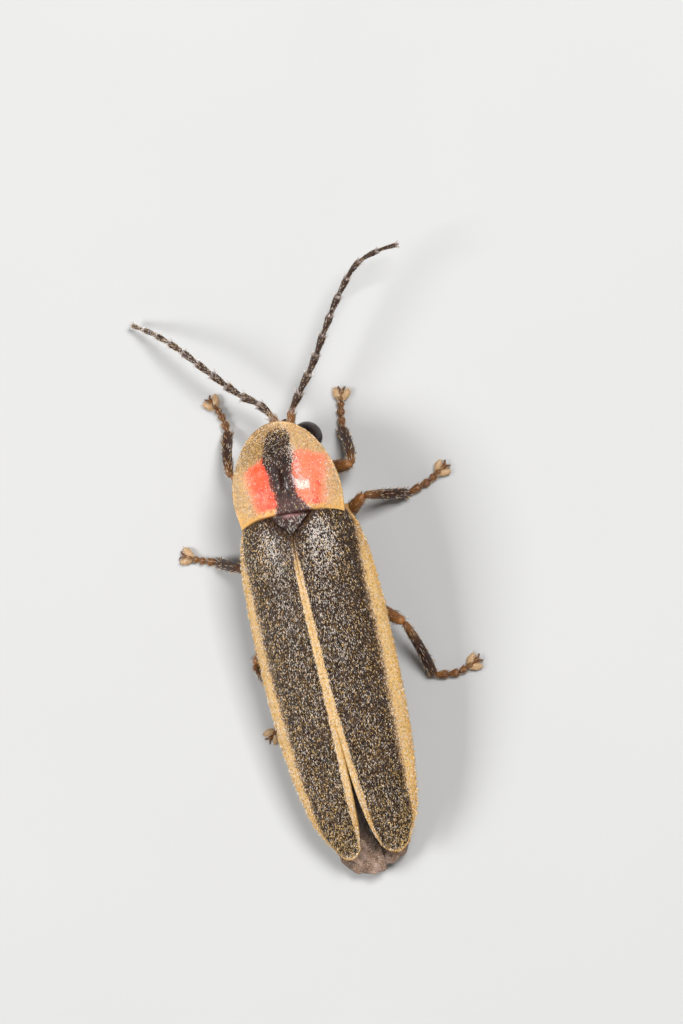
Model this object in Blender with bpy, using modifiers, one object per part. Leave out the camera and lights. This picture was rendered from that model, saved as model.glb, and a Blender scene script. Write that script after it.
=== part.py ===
"""A firefly at rest, life size: 12 mm from the front of its shield to the tips of its wing covers.

+Z is up, the head points to -Y and the animal's left side to +X. Sizes are written in millimetres
and become metres where a shape is made. The trunk is modelled level and hangs from an empty that
tips it down at the tail. Legs and feelers are modelled over the floor that the feet stand on.
"""
import math

import bmesh
import bpy
import numpy as np
from mathutils import Matrix, Vector

MM = 0.001

# Room between touching pieces, and the thickness of plates
GAP = 0.26
PLATE = 0.42
TIP_PLATE = 0.26

# Stance: slope of the trunk, and the depth of the floor below the trunk's own zero level
PITCH = math.radians(7.5)
FLOOR = -0.25
MIDDLE = (-0.10, -1.75)
SLAB_SIZE = (14.0, 20.0, 2.0)
SLAB_MIDDLE = (0.0, -2.0)

# Shield over the head, in the level frame of the trunk: stations along Y
SHIELD_TURN = 0.035
SHIELD_SIDE = 0.05
SHIELD_HALF_WIDTH = ((-5.81, 0.84), (-5.52, 1.07), (-5.03, 1.34), (-4.37, 1.49), (-3.55, 1.43))
SHIELD_CREST = ((-6.17, 1.19), (-5.76, 1.60), (-5.30, 1.99), (-4.65, 2.38), (-3.90, 2.54))
SHIELD_MARGIN = ((-6.17, 1.17), (-5.52, 1.34), (-5.03, 1.56), (-4.37, 1.75), (-3.55, 1.90))
SHIELD_HIND_MIDDLE = -3.93
SHIELD_HIND_CORNER = -3.58
SHIELD_FRONT_CORNER = -5.81
SHIELD_APEX = -6.17
SHIELD_CORNERING = 3
SHIELD_ROUNDING = 2.2
SHIELD_DOME = 2.4
SHIELD_THINNING = 0.5

# Wing covers: stations along Y, half width of the pair, crest along the seam and outer margin
COVER_HALF_WIDTH = ((-3.40, 1.55), (-2.90, 1.70), (-1.50, 1.84), (0.0, 1.87), (1.40, 1.84),
                    (2.60, 1.78), (3.90, 1.62), (5.00, 1.36), (5.62, 1.02))
COVER_SEAM = ((-3.40, 0.16), (2.5, 0.16), (4.20, 0.18), (5.20, 0.22), (5.62, 0.30))
COVER_CREST = ((-3.70, 2.60), (-2.60, 2.79), (-0.40, 2.83), (1.00, 2.77), (2.40, 2.63), (3.80, 2.42),
               (5.00, 2.10), (5.50, 1.90), (5.92, 1.68))
COVER_MARGIN = ((-3.40, 1.72), (0.0, 1.78), (2.50, 1.79), (3.90, 1.74), (5.00, 1.60), (5.50, 1.56),
                (5.92, 1.64))
COVER_DOME = 2.3
COVER_ROUNDING = 2.2
COVER_CORNERING = 3
COVER_PEAK = 0.45
COVER_SHOULDER = -3.17
COVER_BASE = -3.54
COVER_INNER_BASE = -3.08
COVER_TIP = 5.92
COVER_TIP_CORNER = 5.62
COVER_THINNING = 1.6
COVER_CORNER_THINNING = 0.5

# Folded hind wings under the covers, their tips past them, the left tip over the midline
WING_ROOT = -2.15
WING_TOP = ((-2.15, 2.06), (0.0, 2.11), (1.0, 2.06), (2.0, 1.97), (3.0, 1.84), (4.0, 1.68),
            (5.0, 1.43), (5.6, 1.24), (6.2, 1.10), (6.5, 1.06))
WING_DROP = 0.20
WING_INNER = {"left": ((-2.15, 0.30), (-0.8, 0.22), (4.8, 0.22), (5.4, 0.14), (6.0, -0.12), (6.46, -0.10)),
              "right": ((-2.15, 0.30), (-0.8, 0.22), (4.8, 0.22), (5.4, 0.26), (6.0, 0.36), (6.34, 0.36))}
WING_OUTER = {"left": ((-2.15, 0.66), (-1.2, 0.80), (3.0, 0.80), (4.4, 0.84), (5.4, 0.96), (6.1, 1.04),
                       (6.46, 0.90)),
              "right": ((-2.15, 0.66), (-1.2, 0.80), (3.0, 0.80), (4.4, 0.84), (5.4, 0.96), (6.0, 0.96),
                        (6.46, 0.80))}
WING_TIP = {"left": 6.46, "right": 6.34}
WING_TIP_ROUND = 0.26
WING_VEINS = (0.25, 0.67)
WING_THIN = 0.55
WING_THICK = 0.90
WING_THINNING = 4.0
VEIN_HEIGHT = 0.07
VEIN_WIDTH = 0.08

# Trunk pieces in the level frame: half width, top and underside along Y
TRUNK_HALF_WIDTH = ((-5.0, 0.86), (-4.4, 1.05), (-3.6, 1.10), (-2.4, 1.15), (-0.8, 1.20), (0.2, 1.26),
                    (1.5, 1.42), (2.8, 1.36), (3.8, 1.18), (4.6, 0.96), (5.25, 0.62))
TRUNK_TOP = ((-5.0, 1.30), (-4.4, 1.62), (-3.7, 1.76), (-3.1, 1.80), (-2.5, 1.46), (-0.8, 1.41),
             (0.5, 1.36), (2.0, 1.26), (3.0, 1.13), (4.0, 0.98), (5.25, 0.73))
TRUNK_UNDER = ((-5.0, 0.28), (-4.4, 0.34), (-3.6, 0.42), (-2.4, 0.46), (-0.8, 0.50), (1.5, 0.46),
               (3.0, 0.48), (4.0, 0.52), (5.25, 0.60))
PROTHORAX = (-4.92, -3.96)
THORAX = (-3.70, -0.72)
ABDOMEN = (-0.46, 3.06)
LANTERN = (3.32, 4.52)
TAIL = (4.78, 5.34)
SEGMENT_STEP = 0.06

# Head with its eyes, in the level frame
HEAD_MIDDLE = 0.08
HEAD_FRONT = -5.98
HEAD_BACK = -5.06
HEAD_LEVEL = 0.32
HEAD_SIZE = (0.34, 0.46)
HEAD_FLAT = 0.24
EYE_SPREAD = 0.56
EYE_PLACE = (-5.46, 0.27)
EYE_SIZE = (0.42, 0.42, 0.43)
MOUTH_PLACE = (-5.78, -0.48)
MOUTH_BASE = (0.32, 0.24, 0.13)
JAW = ((0.12, -0.05, 0.0), (0.20, -0.24, -0.02), (0.05, -0.42, -0.03))
JAW_RADII = (0.11, 0.10, 0.03)
PALP = ((0.20, 0.0, 0.0), (0.44, -0.12, -0.08), (0.52, -0.22, -0.12))
PALP_RADII = (0.10, 0.12, 0.10)
PALP_END = ((0.50, -0.20, -0.10), (0.57, -0.32, -0.18), (0.60, -0.44, -0.26))
PALP_END_RADII = (0.10, 0.15, 0.03)

# Little plate between the bases of the wing covers
SCUTELLUM_PLACE = (-3.50, 2.26)
SCUTELLUM_SIZE = (0.36, 0.17, 0.22)
SCUTELLUM_POINT = 0.6

# Legs: hip, knee, ankle, middle of the foot and toe, over the floor
LEGS = {
    "leg_front_left": ((0.46, -4.42, 0.36), (1.80, -4.72, 1.02), (1.88, -5.90, 0.02),
                       (1.98, -6.40, 0.0), (2.25, -6.90, 0.0)),
    "leg_front_right": ((-0.40, -4.42, 0.36), (-1.56, -4.44, 1.02), (-1.24, -5.40, 0.02),
                        (-1.32, -5.95, 0.0), (-1.45, -6.50, 0.0)),
    "leg_mid_left": ((0.52, -2.62, 0.26), (1.84, -2.15, 0.90), (2.88, -2.48, 0.02),
                     (3.34, -2.62, 0.0), (3.84, -2.86, 0.0)),
    "leg_mid_right": ((-0.52, -2.72, 0.26), (-1.72, -3.56, 1.06), (-2.68, -3.33, 0.02),
                      (-3.30, -3.56, 0.0), (-3.92, -3.96, 0.0)),
    "leg_hind_left": ((0.62, -0.98, 0.14), (2.06, 0.40, 0.98), (1.58, 1.80, 0.02),
                      (2.02, 2.20, 0.0), (2.50, 2.56, 0.0)),
    "leg_hind_right": ((-0.62, -0.98, 0.14), (-2.12, 0.0, 1.06), (-2.38, 1.62, 0.02),
                       (-3.05, 1.66, 0.0), (-3.78, 1.36, 0.0)),
}
HIP_SIZE = (0.30, 0.27, 0.22)
KNEE_SIZE = (0.23, 0.23, 0.22)
LIMB_STOPS = (0.0, 0.08, 0.36, 0.68, 1.0)
THIGH = (0.14, 0.20, 0.27, 0.265, 0.17)
SHIN = (0.15, 0.215, 0.235, 0.23, 0.18)
SHIN_BOW = (0.06, 0.0, 0.05)
ANKLE_RISE = 0.02
FOOT_LEVEL = 0.15
FOOT_SEGMENTS = (0.30, 0.20, 0.16, 0.14, 0.20)
FOOT_RADIUS = (0.205, 0.20, 0.19, 0.17, 0.13)
FOOT_STOPS = (0.0, 0.75, 1.06)
FOOT_FLARE = (0.72, 1.0, 0.7)
LOBE_SIZE = (0.15, 0.20, 0.13)
LOBE_PLACE = 0.78
LOBE_SPREAD = 0.13
LOBE_DROP = 0.03
CLAW_PLACE = 0.97
CLAW_PATH = ((0.0, 0.03, 0.0), (0.12, 0.11, 0.0), (0.20, 0.16, -0.08))
CLAW_RADII = (0.07, 0.06, 0.02)

# Feelers: a smooth path from the head to the tip, cut into eleven segments
FEELERS = {
    "antenna_left": ((0.35, -6.09, 1.02), (0.60, -6.45, 1.02), (1.05, -6.80, 1.05),
                     (1.75, -7.54, 1.10), (2.50, -8.33, 0.95), (3.21, -8.88, 0.50), (3.88, -9.24, 0.02)),
    "antenna_right": ((-0.20, -6.09, 1.02), (-0.44, -6.46, 1.04), (-1.04, -7.25, 1.10),
                      (-1.62, -8.16, 1.20), (-2.23, -9.02, 1.33), (-2.92, -9.72, 1.42),
                      (-3.61, -9.93, 1.45), (-4.08, -9.97, 1.45)),
}
FEELER_SEGMENTS = 11
FEELER_ROOT = 0.135
FEELER_RADIUS = 0.24
FEELER_TIP = 0.12
FEELER_STEPS = 4
FEELER_TAPER = 1.2
FEELER_WAIST = 0.72
FEELER_FLARE = ((0.0, 0.15, 0.8, 1.0), (0.0, 0.0, 1.0, 0.0))


def clear_scene():
    for old in list(bpy.data.objects):
        bpy.data.objects.remove(old, do_unlink=True)


clear_scene()
parts = bpy.data.collections.new("firefly")
cutters = bpy.data.collections.new("cutters")
bpy.context.scene.collection.children.link(parts)
bpy.context.scene.collection.children.link(cutters)

animal = bpy.data.objects.new("animal", None)
animal.location = (-MIDDLE[0] * MM, -MIDDLE[1] * MM, -FLOOR * MM)
parts.objects.link(animal)
trunk = bpy.data.objects.new("trunk", None)
trunk.rotation_euler.x = -PITCH
trunk.parent = animal
parts.objects.link(trunk)


def follow(stations, place):
    """The value at a place on a smooth curve through (place, value) stations."""
    places, values = np.array(stations, dtype=float).T
    slopes = np.gradient(values, places)
    place = np.clip(np.asarray(place, dtype=float), places[0], places[-1])
    left = np.clip(np.searchsorted(places, place) - 1, 0, len(places) - 2)
    step = places[left + 1] - places[left]
    t = (place - places[left]) / step
    return ((1 + 2 * t) * (1 - t) ** 2 * values[left] + t * (1 - t) ** 2 * step * slopes[left]
            + t * t * (3 - 2 * t) * values[left + 1] + t * t * (t - 1) * step * slopes[left + 1])


def paint(piece, colour, roughness, coat=0.0):
    """Gives a piece its own plain material."""
    finish = bpy.data.materials.new(piece.name + "_finish")
    finish.use_nodes = True
    shader = finish.node_tree.nodes["Principled BSDF"]
    shader.inputs["Base Color"].default_value = (*colour, 1.0)
    shader.inputs["Roughness"].default_value = roughness
    shader.inputs["Metallic"].default_value = 0.0
    shader.inputs["Coat Weight"].default_value = coat
    piece.data.materials.clear()
    piece.data.materials.append(finish)
    return piece


def add_piece(name, form, parent, place=(0.0, 0.0, 0.0)):
    """Puts a form, made in millimetres round its own zero, at a place under its parent."""
    mesh = bpy.data.meshes.new(name)
    bmesh.ops.scale(form, vec=(MM, MM, MM), verts=form.verts)
    bmesh.ops.recalc_face_normals(form, faces=form.faces)
    form.to_mesh(mesh)
    form.free()
    mesh.shade_smooth()
    mesh.set_sharp_from_angle(angle=math.radians(50))
    piece = bpy.data.objects.new(name, mesh)
    piece.parent = parent
    piece.location = Vector(place) * MM
    parts.objects.link(piece)
    return piece


def ball(size, sides=14, rings=9):
    """A sphere drawn out to three half sizes, its poles along Y."""
    form = bmesh.new()
    bmesh.ops.create_uvsphere(form, u_segments=sides, v_segments=rings, radius=1.0)
    for vert in form.verts:
        x, y, z = vert.co
        vert.co = (x * size[0], z * size[1], -y * size[2])
    return form


def trunk_form(span, sides=18, rings=12, blunt=0.14, segments=0):
    """A sphere drawn out along Y between two places, its sections following the trunk's outline.

    A section is an ellipse with the trunk's half width, top and underside there, and the ends
    close over a short round. Each body segment starts a little narrower than it ends.
    """
    front, back = span
    form = bmesh.new()
    bmesh.ops.create_uvsphere(form, u_segments=sides, v_segments=rings, radius=1.0)
    for vert in form.verts:
        x, y, z = vert.co
        ring = max(math.hypot(x, y), 1e-9)
        share = math.acos(max(-1.0, min(1.0, -z))) / math.pi
        place = front + (back - front) * share
        swell = ring ** blunt
        swell *= 1.0 + SEGMENT_STEP * ((share * segments + 1e-6) % 1.0 - 0.75) * (segments > 0)
        half_width = float(follow(TRUNK_HALF_WIDTH, place))
        top = float(follow(TRUNK_TOP, place))
        under = float(follow(TRUNK_UNDER, place))
        middle = (top + under) / 2
        vert.co = (x / ring * half_width * swell, place - front,
                   middle - y / ring * (top - under) / 2 * swell)
    return form


def sheet_form(place, across, along):
    """A grid of triangles, its points put where place(u, v) says, u across and v along from 0 to 1.

    Also gives u and v of each point.
    """
    form = bmesh.new()
    bmesh.ops.create_grid(form, x_segments=across, y_segments=along, size=0.5)
    u, v = np.array([vert.co[:2] for vert in form.verts]).T + 0.5
    spots = place(u, v)
    for vert, spot in zip(form.verts, np.stack(spots, axis=1)):
        vert.co = spot
    bmesh.ops.triangulate(form, faces=form.faces, quad_method="FIXED")
    return form, u, v


def add_plate(name, form, place, weight, thick, side=1):
    """A sheet given its thickness downwards, thinner where its weight falls towards its tip."""
    mesh = bpy.data.meshes.new(name)
    bmesh.ops.scale(form, vec=(side * MM, MM, MM), verts=form.verts)
    if side < 0:
        bmesh.ops.reverse_faces(form, faces=form.faces)
    form.to_mesh(mesh)
    form.free()
    mesh.shade_smooth()
    piece = bpy.data.objects.new(name, mesh)
    piece.parent = trunk
    piece.location = Vector(place) * MM
    parts.objects.link(piece)
    group = piece.vertex_groups.new(name="thickness")
    for index, share in enumerate(weight):
        group.add([index], float(share), "REPLACE")
    wall = piece.modifiers.new("wall", "SOLIDIFY")
    wall.thickness = thick * MM
    wall.offset = -1.0
    wall.vertex_group = group.name
    wall.thickness_vertex_group = 0.0
    return piece


def tube(points, radii, sides=8):
    """A round closed limb through points, its radius given at each: a curve made into a mesh."""
    curve = bpy.data.curves.new("limb", "CURVE")
    curve.dimensions = "3D"
    curve.bevel_depth = MM
    curve.bevel_resolution = (sides - 4) // 2
    curve.use_fill_caps = True
    spline = curve.splines.new("POLY")
    spline.points.add(len(points) - 1)
    for knot, point, radius in zip(spline.points, points, radii):
        knot.co = (*(Vector(point) * MM), 1.0)
        knot.radius = radius
    drawn = bpy.data.objects.new("limb", curve)
    parts.objects.link(drawn)
    bpy.context.view_layer.update()
    mesh = bpy.data.meshes.new_from_object(drawn.evaluated_get(bpy.context.evaluated_depsgraph_get()))
    bpy.data.objects.remove(drawn, do_unlink=True)
    form = bmesh.new()
    form.from_mesh(mesh)
    bpy.data.meshes.remove(mesh)
    bmesh.ops.remove_doubles(form, verts=form.verts, dist=1e-7)
    bmesh.ops.scale(form, vec=(1 / MM, 1 / MM, 1 / MM), verts=form.verts)
    return form


def placed(form, spot):
    """Moves a form to a spot given in millimetres."""
    bmesh.ops.translate(form, vec=Vector(spot), verts=form.verts)
    return form


def keep_largest(mesh):
    """Keeps only the closed surface with the largest box, and so fills what the union sealed."""
    form = bmesh.new()
    form.from_mesh(mesh)
    bmesh.ops.remove_doubles(form, verts=form.verts, dist=2e-7)
    left = set(form.verts)
    shells = []
    while left:
        shell = {left.pop()}
        edge = set(shell)
        while edge:
            edge = {link.other_vert(vert) for vert in edge for link in vert.link_edges} - shell
            shell |= edge
        left -= shell
        shells.append(shell)

    def reach(shell):
        spots = np.array([vert.co[:] for vert in shell])
        return float(np.prod(spots.max(axis=0) - spots.min(axis=0)))

    largest = max(shells, key=reach)
    scraps = [vert for vert in form.verts if vert not in largest]
    bmesh.ops.delete(form, geom=scraps, context="VERTS")
    form.to_mesh(mesh)
    form.free()


def fuse(name, forms, parent, place=(0.0, 0.0, 0.0), cutter=None):
    """Joins closed forms into one piece by one union, after which a cutter may be taken away."""
    host = add_piece(name, forms[0], parent, place)
    bunch = bpy.data.collections.new(name + "_bunch")
    bpy.context.scene.collection.children.link(bunch)
    for index, form in enumerate(forms[1:]):
        member = add_piece(f"{name}_{index}", form, parent, place)
        parts.objects.unlink(member)
        bunch.objects.link(member)
    union = host.modifiers.new("union", "BOOLEAN")
    union.operation = "UNION"
    union.operand_type = "COLLECTION"
    union.collection = bunch
    if cutter is not None:
        cut = host.modifiers.new("cut", "BOOLEAN")
        cut.operation = "DIFFERENCE"
        cut.object = cutter
        cut.solver = "MANIFOLD"
    bpy.context.view_layer.update()
    joined = bpy.data.meshes.new_from_object(host.evaluated_get(bpy.context.evaluated_depsgraph_get()))
    host.modifiers.clear()
    keep_largest(joined)
    joined.shade_smooth()
    joined.set_sharp_from_angle(angle=math.radians(50))
    host.data = joined
    for member in list(bunch.objects):
        bpy.data.objects.remove(member, do_unlink=True)
    bpy.data.collections.remove(bunch)
    return host


def add_cutter(name, form, parent, place=(0.0, 0.0, 0.0)):
    """A shape that only cuts."""
    cutter = add_piece(name, form, parent, place)
    parts.objects.unlink(cutter)
    cutters.objects.link(cutter)
    cutter.hide_render = True
    cutter.display_type = "WIRE"
    return cutter


def build_shield():
    """The shield over the head: a low dome with a flat rim, round in front, cornered behind."""

    def place(u, v):
        across = 2 * u - 1
        aside = np.abs(across)
        hind = SHIELD_HIND_MIDDLE
        hind = hind + (SHIELD_HIND_CORNER - SHIELD_HIND_MIDDLE) * aside ** SHIELD_CORNERING
        front = SHIELD_FRONT_CORNER + (SHIELD_APEX - SHIELD_FRONT_CORNER) * (1 - aside ** SHIELD_ROUNDING)
        side = SHIELD_HIND_CORNER + (SHIELD_FRONT_CORNER - SHIELD_HIND_CORNER) * v
        y = hind + (front - hind) * v
        x = across * follow(SHIELD_HALF_WIDTH, side)
        x = x + SHIELD_SIDE + SHIELD_TURN * (SHIELD_HIND_MIDDLE - y)
        rim = follow(SHIELD_MARGIN, y)
        z = rim + (follow(SHIELD_CREST, y) - rim) * (1 - aside ** SHIELD_DOME)
        return x, y - SHIELD_HIND_MIDDLE, z

    form, u, v = sheet_form(place, 16, 12)
    bmesh.ops.reverse_faces(form, faces=form.faces)
    weight = 1 - SHIELD_THINNING * (v * np.abs(2 * u - 1)) ** 3
    shield = add_plate("pronotum", form, (0.0, SHIELD_HIND_MIDDLE, 0.0), weight, PLATE)
    return paint(shield, (0.62, 0.36, 0.12), 0.45)


def build_cover(side, name):
    """A wing cover: a long arched plate from the shoulder to a round tip."""

    def place(u, v):
        inward = COVER_INNER_BASE + (COVER_BASE - COVER_INNER_BASE) * u / COVER_PEAK
        past = np.clip((u - COVER_PEAK) / (1 - COVER_PEAK), 0, 1)
        outward = COVER_BASE + (COVER_SHOULDER - COVER_BASE) * past ** COVER_CORNERING
        base = np.where(u < COVER_PEAK, inward, outward)
        tip = COVER_TIP_CORNER
        tip = tip + (COVER_TIP - COVER_TIP_CORNER) * (1 - np.abs(2 * u - 1) ** COVER_ROUNDING)
        stretch = COVER_SHOULDER + (COVER_TIP_CORNER - COVER_SHOULDER) * v
        y = base + (tip - base) * v
        seam = follow(COVER_SEAM, stretch)
        outer = follow(COVER_HALF_WIDTH, stretch)
        x = seam + (outer - seam) * u
        rim = follow(COVER_MARGIN, y)
        z = rim + (follow(COVER_CREST, y) - rim) * (1 - (x / outer) ** COVER_DOME)
        return x, y - COVER_SHOULDER, z

    form, u, v = sheet_form(place, 9, 22)
    reach = place(u, v)[1] + COVER_SHOULDER
    weight = np.clip((COVER_TIP - reach) / COVER_THINNING, 0, 1)
    weight = TIP_PLATE / PLATE + (1 - TIP_PLATE / PLATE) * weight
    weight = weight * (1 - COVER_CORNER_THINNING * (v * np.abs(2 * u - 1)) ** 6)
    cover = add_plate(name, form, (0.0, COVER_SHOULDER, 0.0), weight, PLATE, side)
    return paint(cover, (0.05, 0.04, 0.035), 0.4)


def build_wing(side, hand):
    """A folded hind wing: a long strap under the cover, ribbed by its veins, its tip showing."""
    wing_tip = WING_TIP[hand]

    def place(u, v):
        stretch = WING_ROOT + (wing_tip - WING_ROOT) * v
        inner = follow(WING_INNER[hand], stretch)
        outer = follow(WING_OUTER[hand], stretch)
        x = inner + (outer - inner) * u
        y = stretch - WING_TIP_ROUND * v * (2 * u - 1) ** 2
        z = follow(WING_TOP, y) - WING_DROP * x ** 2 - VEIN_HEIGHT
        return x, y - WING_ROOT, z

    form, u, v = sheet_form(place, 12, 16)
    reach = place(u, v)[1] + WING_ROOT
    weight = np.clip((wing_tip - reach) / WING_THINNING, 0, 1)
    weight = WING_THIN + (WING_THICK - WING_THIN) * weight
    wing = add_plate("hindwing_" + hand, form, (0.0, WING_ROOT, 0.0), weight, PLATE, side)
    group = wing.vertex_groups.new(name="veins")
    ridges = sum(np.exp(-((u - vein) / VEIN_WIDTH) ** 2) for vein in WING_VEINS)
    for index, share in enumerate(ridges):
        group.add([index], min(float(share), 1.0), "REPLACE")
    raised = wing.modifiers.new("veins", "DISPLACE")
    raised.direction = "Z"
    raised.mid_level = 0.0
    raised.strength = VEIN_HEIGHT * MM
    raised.vertex_group = group.name
    return paint(wing, (0.28, 0.24, 0.20), 0.5)


def build_trunk():
    """The trunk's five pieces, parted by thin cuts across."""
    prothorax = add_piece("prothorax", trunk_form(PROTHORAX, rings=8), trunk, (0.0, PROTHORAX[0], 0.0))
    paint(prothorax, (0.30, 0.15, 0.05), 0.5)
    thorax = add_piece("thorax", trunk_form(THORAX, rings=14), trunk, (0.0, THORAX[0], 0.0))
    paint(thorax, (0.10, 0.06, 0.035), 0.5)
    abdomen = add_piece("abdomen", trunk_form(ABDOMEN, rings=20, segments=5), trunk,
                        (0.0, ABDOMEN[0], 0.0))
    paint(abdomen, (0.09, 0.055, 0.035), 0.5)
    lantern = add_piece("lantern", trunk_form(LANTERN, rings=8, segments=2), trunk,
                        (0.0, LANTERN[0], 0.0))
    paint(lantern, (0.80, 0.76, 0.50), 0.4)
    tail = add_piece("pygidium", trunk_form(TAIL, rings=8, blunt=0.5), trunk, (0.0, TAIL[0], 0.0))
    paint(tail, (0.12, 0.07, 0.04), 0.5)


def build_scutellum():
    """The small plate between the bases of the wing covers, its point to the tail."""
    form = ball(SCUTELLUM_SIZE, 14, 8)
    for vert in form.verts:
        vert.co.x *= 1.0 - SCUTELLUM_POINT * max(vert.co.y, 0.0) / SCUTELLUM_SIZE[1]
    plate = add_piece("scutellum", form, trunk, (0.0, *SCUTELLUM_PLACE))
    return paint(plate, (0.16, 0.09, 0.06), 0.5)


def build_head():
    """The head, flat at its sides, where two half round eyes face it."""
    for side, hand in ((1, "left"), (-1, "right")):
        form = ball(EYE_SIZE, 16, 10)
        for vert in form.verts:
            vert.co.x = side * max(side * vert.co.x, HEAD_FLAT + GAP - EYE_SPREAD)
        eye = add_piece("eye_" + hand, form, trunk, (HEAD_MIDDLE + side * EYE_SPREAD, *EYE_PLACE))
        paint(eye, (0.012, 0.010, 0.012), 0.15, coat=0.6)
    form = ball((HEAD_SIZE[0], (HEAD_BACK - HEAD_FRONT) / 2, HEAD_SIZE[1]), 16, 10)
    for vert in form.verts:
        vert.co.x = max(-HEAD_FLAT, min(HEAD_FLAT, vert.co.x))
    head = add_piece("head", form, trunk, (HEAD_MIDDLE, (HEAD_FRONT + HEAD_BACK) / 2, HEAD_LEVEL))
    paint(head, (0.10, 0.06, 0.03), 0.45)


def build_mouth():
    """Jaws and palps on a small base below the head."""
    y, z = MOUTH_PLACE
    forms = [ball(MOUTH_BASE, 10, 6)]
    for side in (-1, 1):
        for path, radii in ((JAW, JAW_RADII), (PALP, PALP_RADII), (PALP_END, PALP_END_RADII)):
            forms.append(tube([(side * spot[0], spot[1], spot[2]) for spot in path], radii, 6))
    mouth = fuse("mouthparts", forms, trunk, (HEAD_MIDDLE, y, z))
    return paint(mouth, (0.22, 0.11, 0.05), 0.4)


def bow(start, end, radii, swing=(0.0, 0.0, 0.0)):
    """A limb segment between two joints, bent a little to one side, with round ends."""
    start, end, swing = Vector(start), Vector(end), Vector(swing)
    points, sizes = [], []
    for share, radius in zip(LIMB_STOPS, radii):
        points.append(start.lerp(end, share) + swing * math.sin(math.pi * share))
        sizes.append(radius)
    return tube(points, sizes)


def build_foot(start, instep, toe):
    """The forms of a foot on the floor: five segments in a row, two lobes and two claws."""
    path = (start, instep, toe)
    first, second = (instep - start).length, (toe - instep).length

    def along(share):
        run = min(share, 1.0) * (first + second)
        if run <= first:
            return path[0].lerp(path[1], run / first)
        return path[1].lerp(path[2], (run - first) / second)

    forms = []
    done = 0.0
    for share, radius in zip(FOOT_SEGMENTS, FOOT_RADIUS):
        stops = [along(done + share * stop) for stop in FOOT_STOPS]
        forms.append(tube(stops, [radius * flare for flare in FOOT_FLARE]))
        done += share
    heading = (toe - instep).normalized()
    aside = Vector((-heading.y, heading.x, 0.0))
    turn = math.atan2(heading.y, heading.x) - math.pi / 2
    for way in (-1, 1):
        lobe = ball(LOBE_SIZE, 8, 5)
        bmesh.ops.rotate(lobe, cent=(0, 0, 0), matrix=Matrix.Rotation(turn, 3, "Z"), verts=lobe.verts)
        spot = along(LOBE_PLACE) + aside * way * LOBE_SPREAD
        forms.append(placed(lobe, spot - Vector((0.0, 0.0, LOBE_DROP))))
        root = along(CLAW_PLACE)
        hook = [root + heading * ahead + aside * way * out + Vector((0.0, 0.0, up))
                for ahead, out, up in CLAW_PATH]
        forms.append(tube(hook, CLAW_RADII, 4))
    return forms


def build_leg(name, floor_cutter):
    """A leg: hip, thigh, knee, shin, and a foot that lies flat on the floor."""
    hip, knee, ankle, instep, toe = (Vector(joint) for joint in LEGS[name])
    sole = FLOOR + FOOT_LEVEL
    start = Vector((ankle.x, ankle.y, sole + ANKLE_RISE))
    swing = (math.copysign(SHIN_BOW[0], hip.x), SHIN_BOW[1], SHIN_BOW[2])
    forms = [placed(ball(HIP_SIZE, 10, 6), hip)]
    forms.append(bow(hip, knee, THIGH))
    forms.append(placed(ball(KNEE_SIZE, 8, 6), knee))
    forms.append(bow(knee, start, SHIN, swing))
    forms += build_foot(start, Vector((instep.x, instep.y, sole)), Vector((toe.x, toe.y, sole)))
    leg = fuse(name, forms, animal, cutter=floor_cutter)
    return paint(leg, (0.25, 0.10, 0.04), 0.35)


def smooth_path(points, count):
    """Evenly spaced points on a smooth curve through a few chosen ones."""
    knots = np.array(points)
    run = np.concatenate([[0], np.cumsum(np.linalg.norm(np.diff(knots, axis=0), axis=1))])
    fine = np.linspace(0, run[-1], 400)
    curve = np.stack([follow(list(zip(run, knots[:, axis])), fine) for axis in range(3)], axis=1)
    length = np.concatenate([[0], np.cumsum(np.linalg.norm(np.diff(curve, axis=0), axis=1))])
    even = np.linspace(0, length[-1], count)
    return np.stack([np.interp(even, length, curve[:, axis]) for axis in range(3)], axis=1)


def build_feeler(name):
    """A feeler of eleven segments, each a little wider at its far end, tapering to the tip."""
    path = smooth_path(FEELERS[name], FEELER_SEGMENTS * FEELER_STEPS + 1)
    forms = []
    for index in range(FEELER_SEGMENTS):
        share = index / (FEELER_SEGMENTS - 1)
        wide = FEELER_RADIUS + (FEELER_TIP - FEELER_RADIUS) * share ** FEELER_TAPER
        narrow = FEELER_ROOT if index == 0 else wide * FEELER_WAIST
        first = max(index * FEELER_STEPS - 1, 0)
        stops = path[first:(index + 1) * FEELER_STEPS + 1:2]
        places, flare = FEELER_FLARE
        radii = narrow + (wide - narrow) * np.interp(np.linspace(0, 1, len(stops)), places, flare)
        forms.append(tube([Vector(stop) for stop in stops], radii))
    feeler = fuse(name, forms, animal)
    return paint(feeler, (0.06, 0.035, 0.025), 0.45)


slab = bmesh.new()
bmesh.ops.create_cube(slab, size=1.0)
bmesh.ops.scale(slab, vec=SLAB_SIZE, verts=slab.verts)
slab_middle = (*SLAB_MIDDLE, FLOOR - SLAB_SIZE[2] / 2)
floor_cutter = add_cutter("floor_cutter", placed(slab, slab_middle), animal)

build_shield()
for side, hand in ((1, "left"), (-1, "right")):
    build_cover(side, "elytron_" + hand)
    build_wing(side, hand)
build_trunk()
build_scutellum()
build_head()
build_mouth()
for leg_name in LEGS:
    build_leg(leg_name, floor_cutter)
for feeler_name in FEELERS:
    build_feeler(feeler_name)
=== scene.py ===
import math

import bpy
import numpy as np
from mathutils import Matrix, Vector


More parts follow.
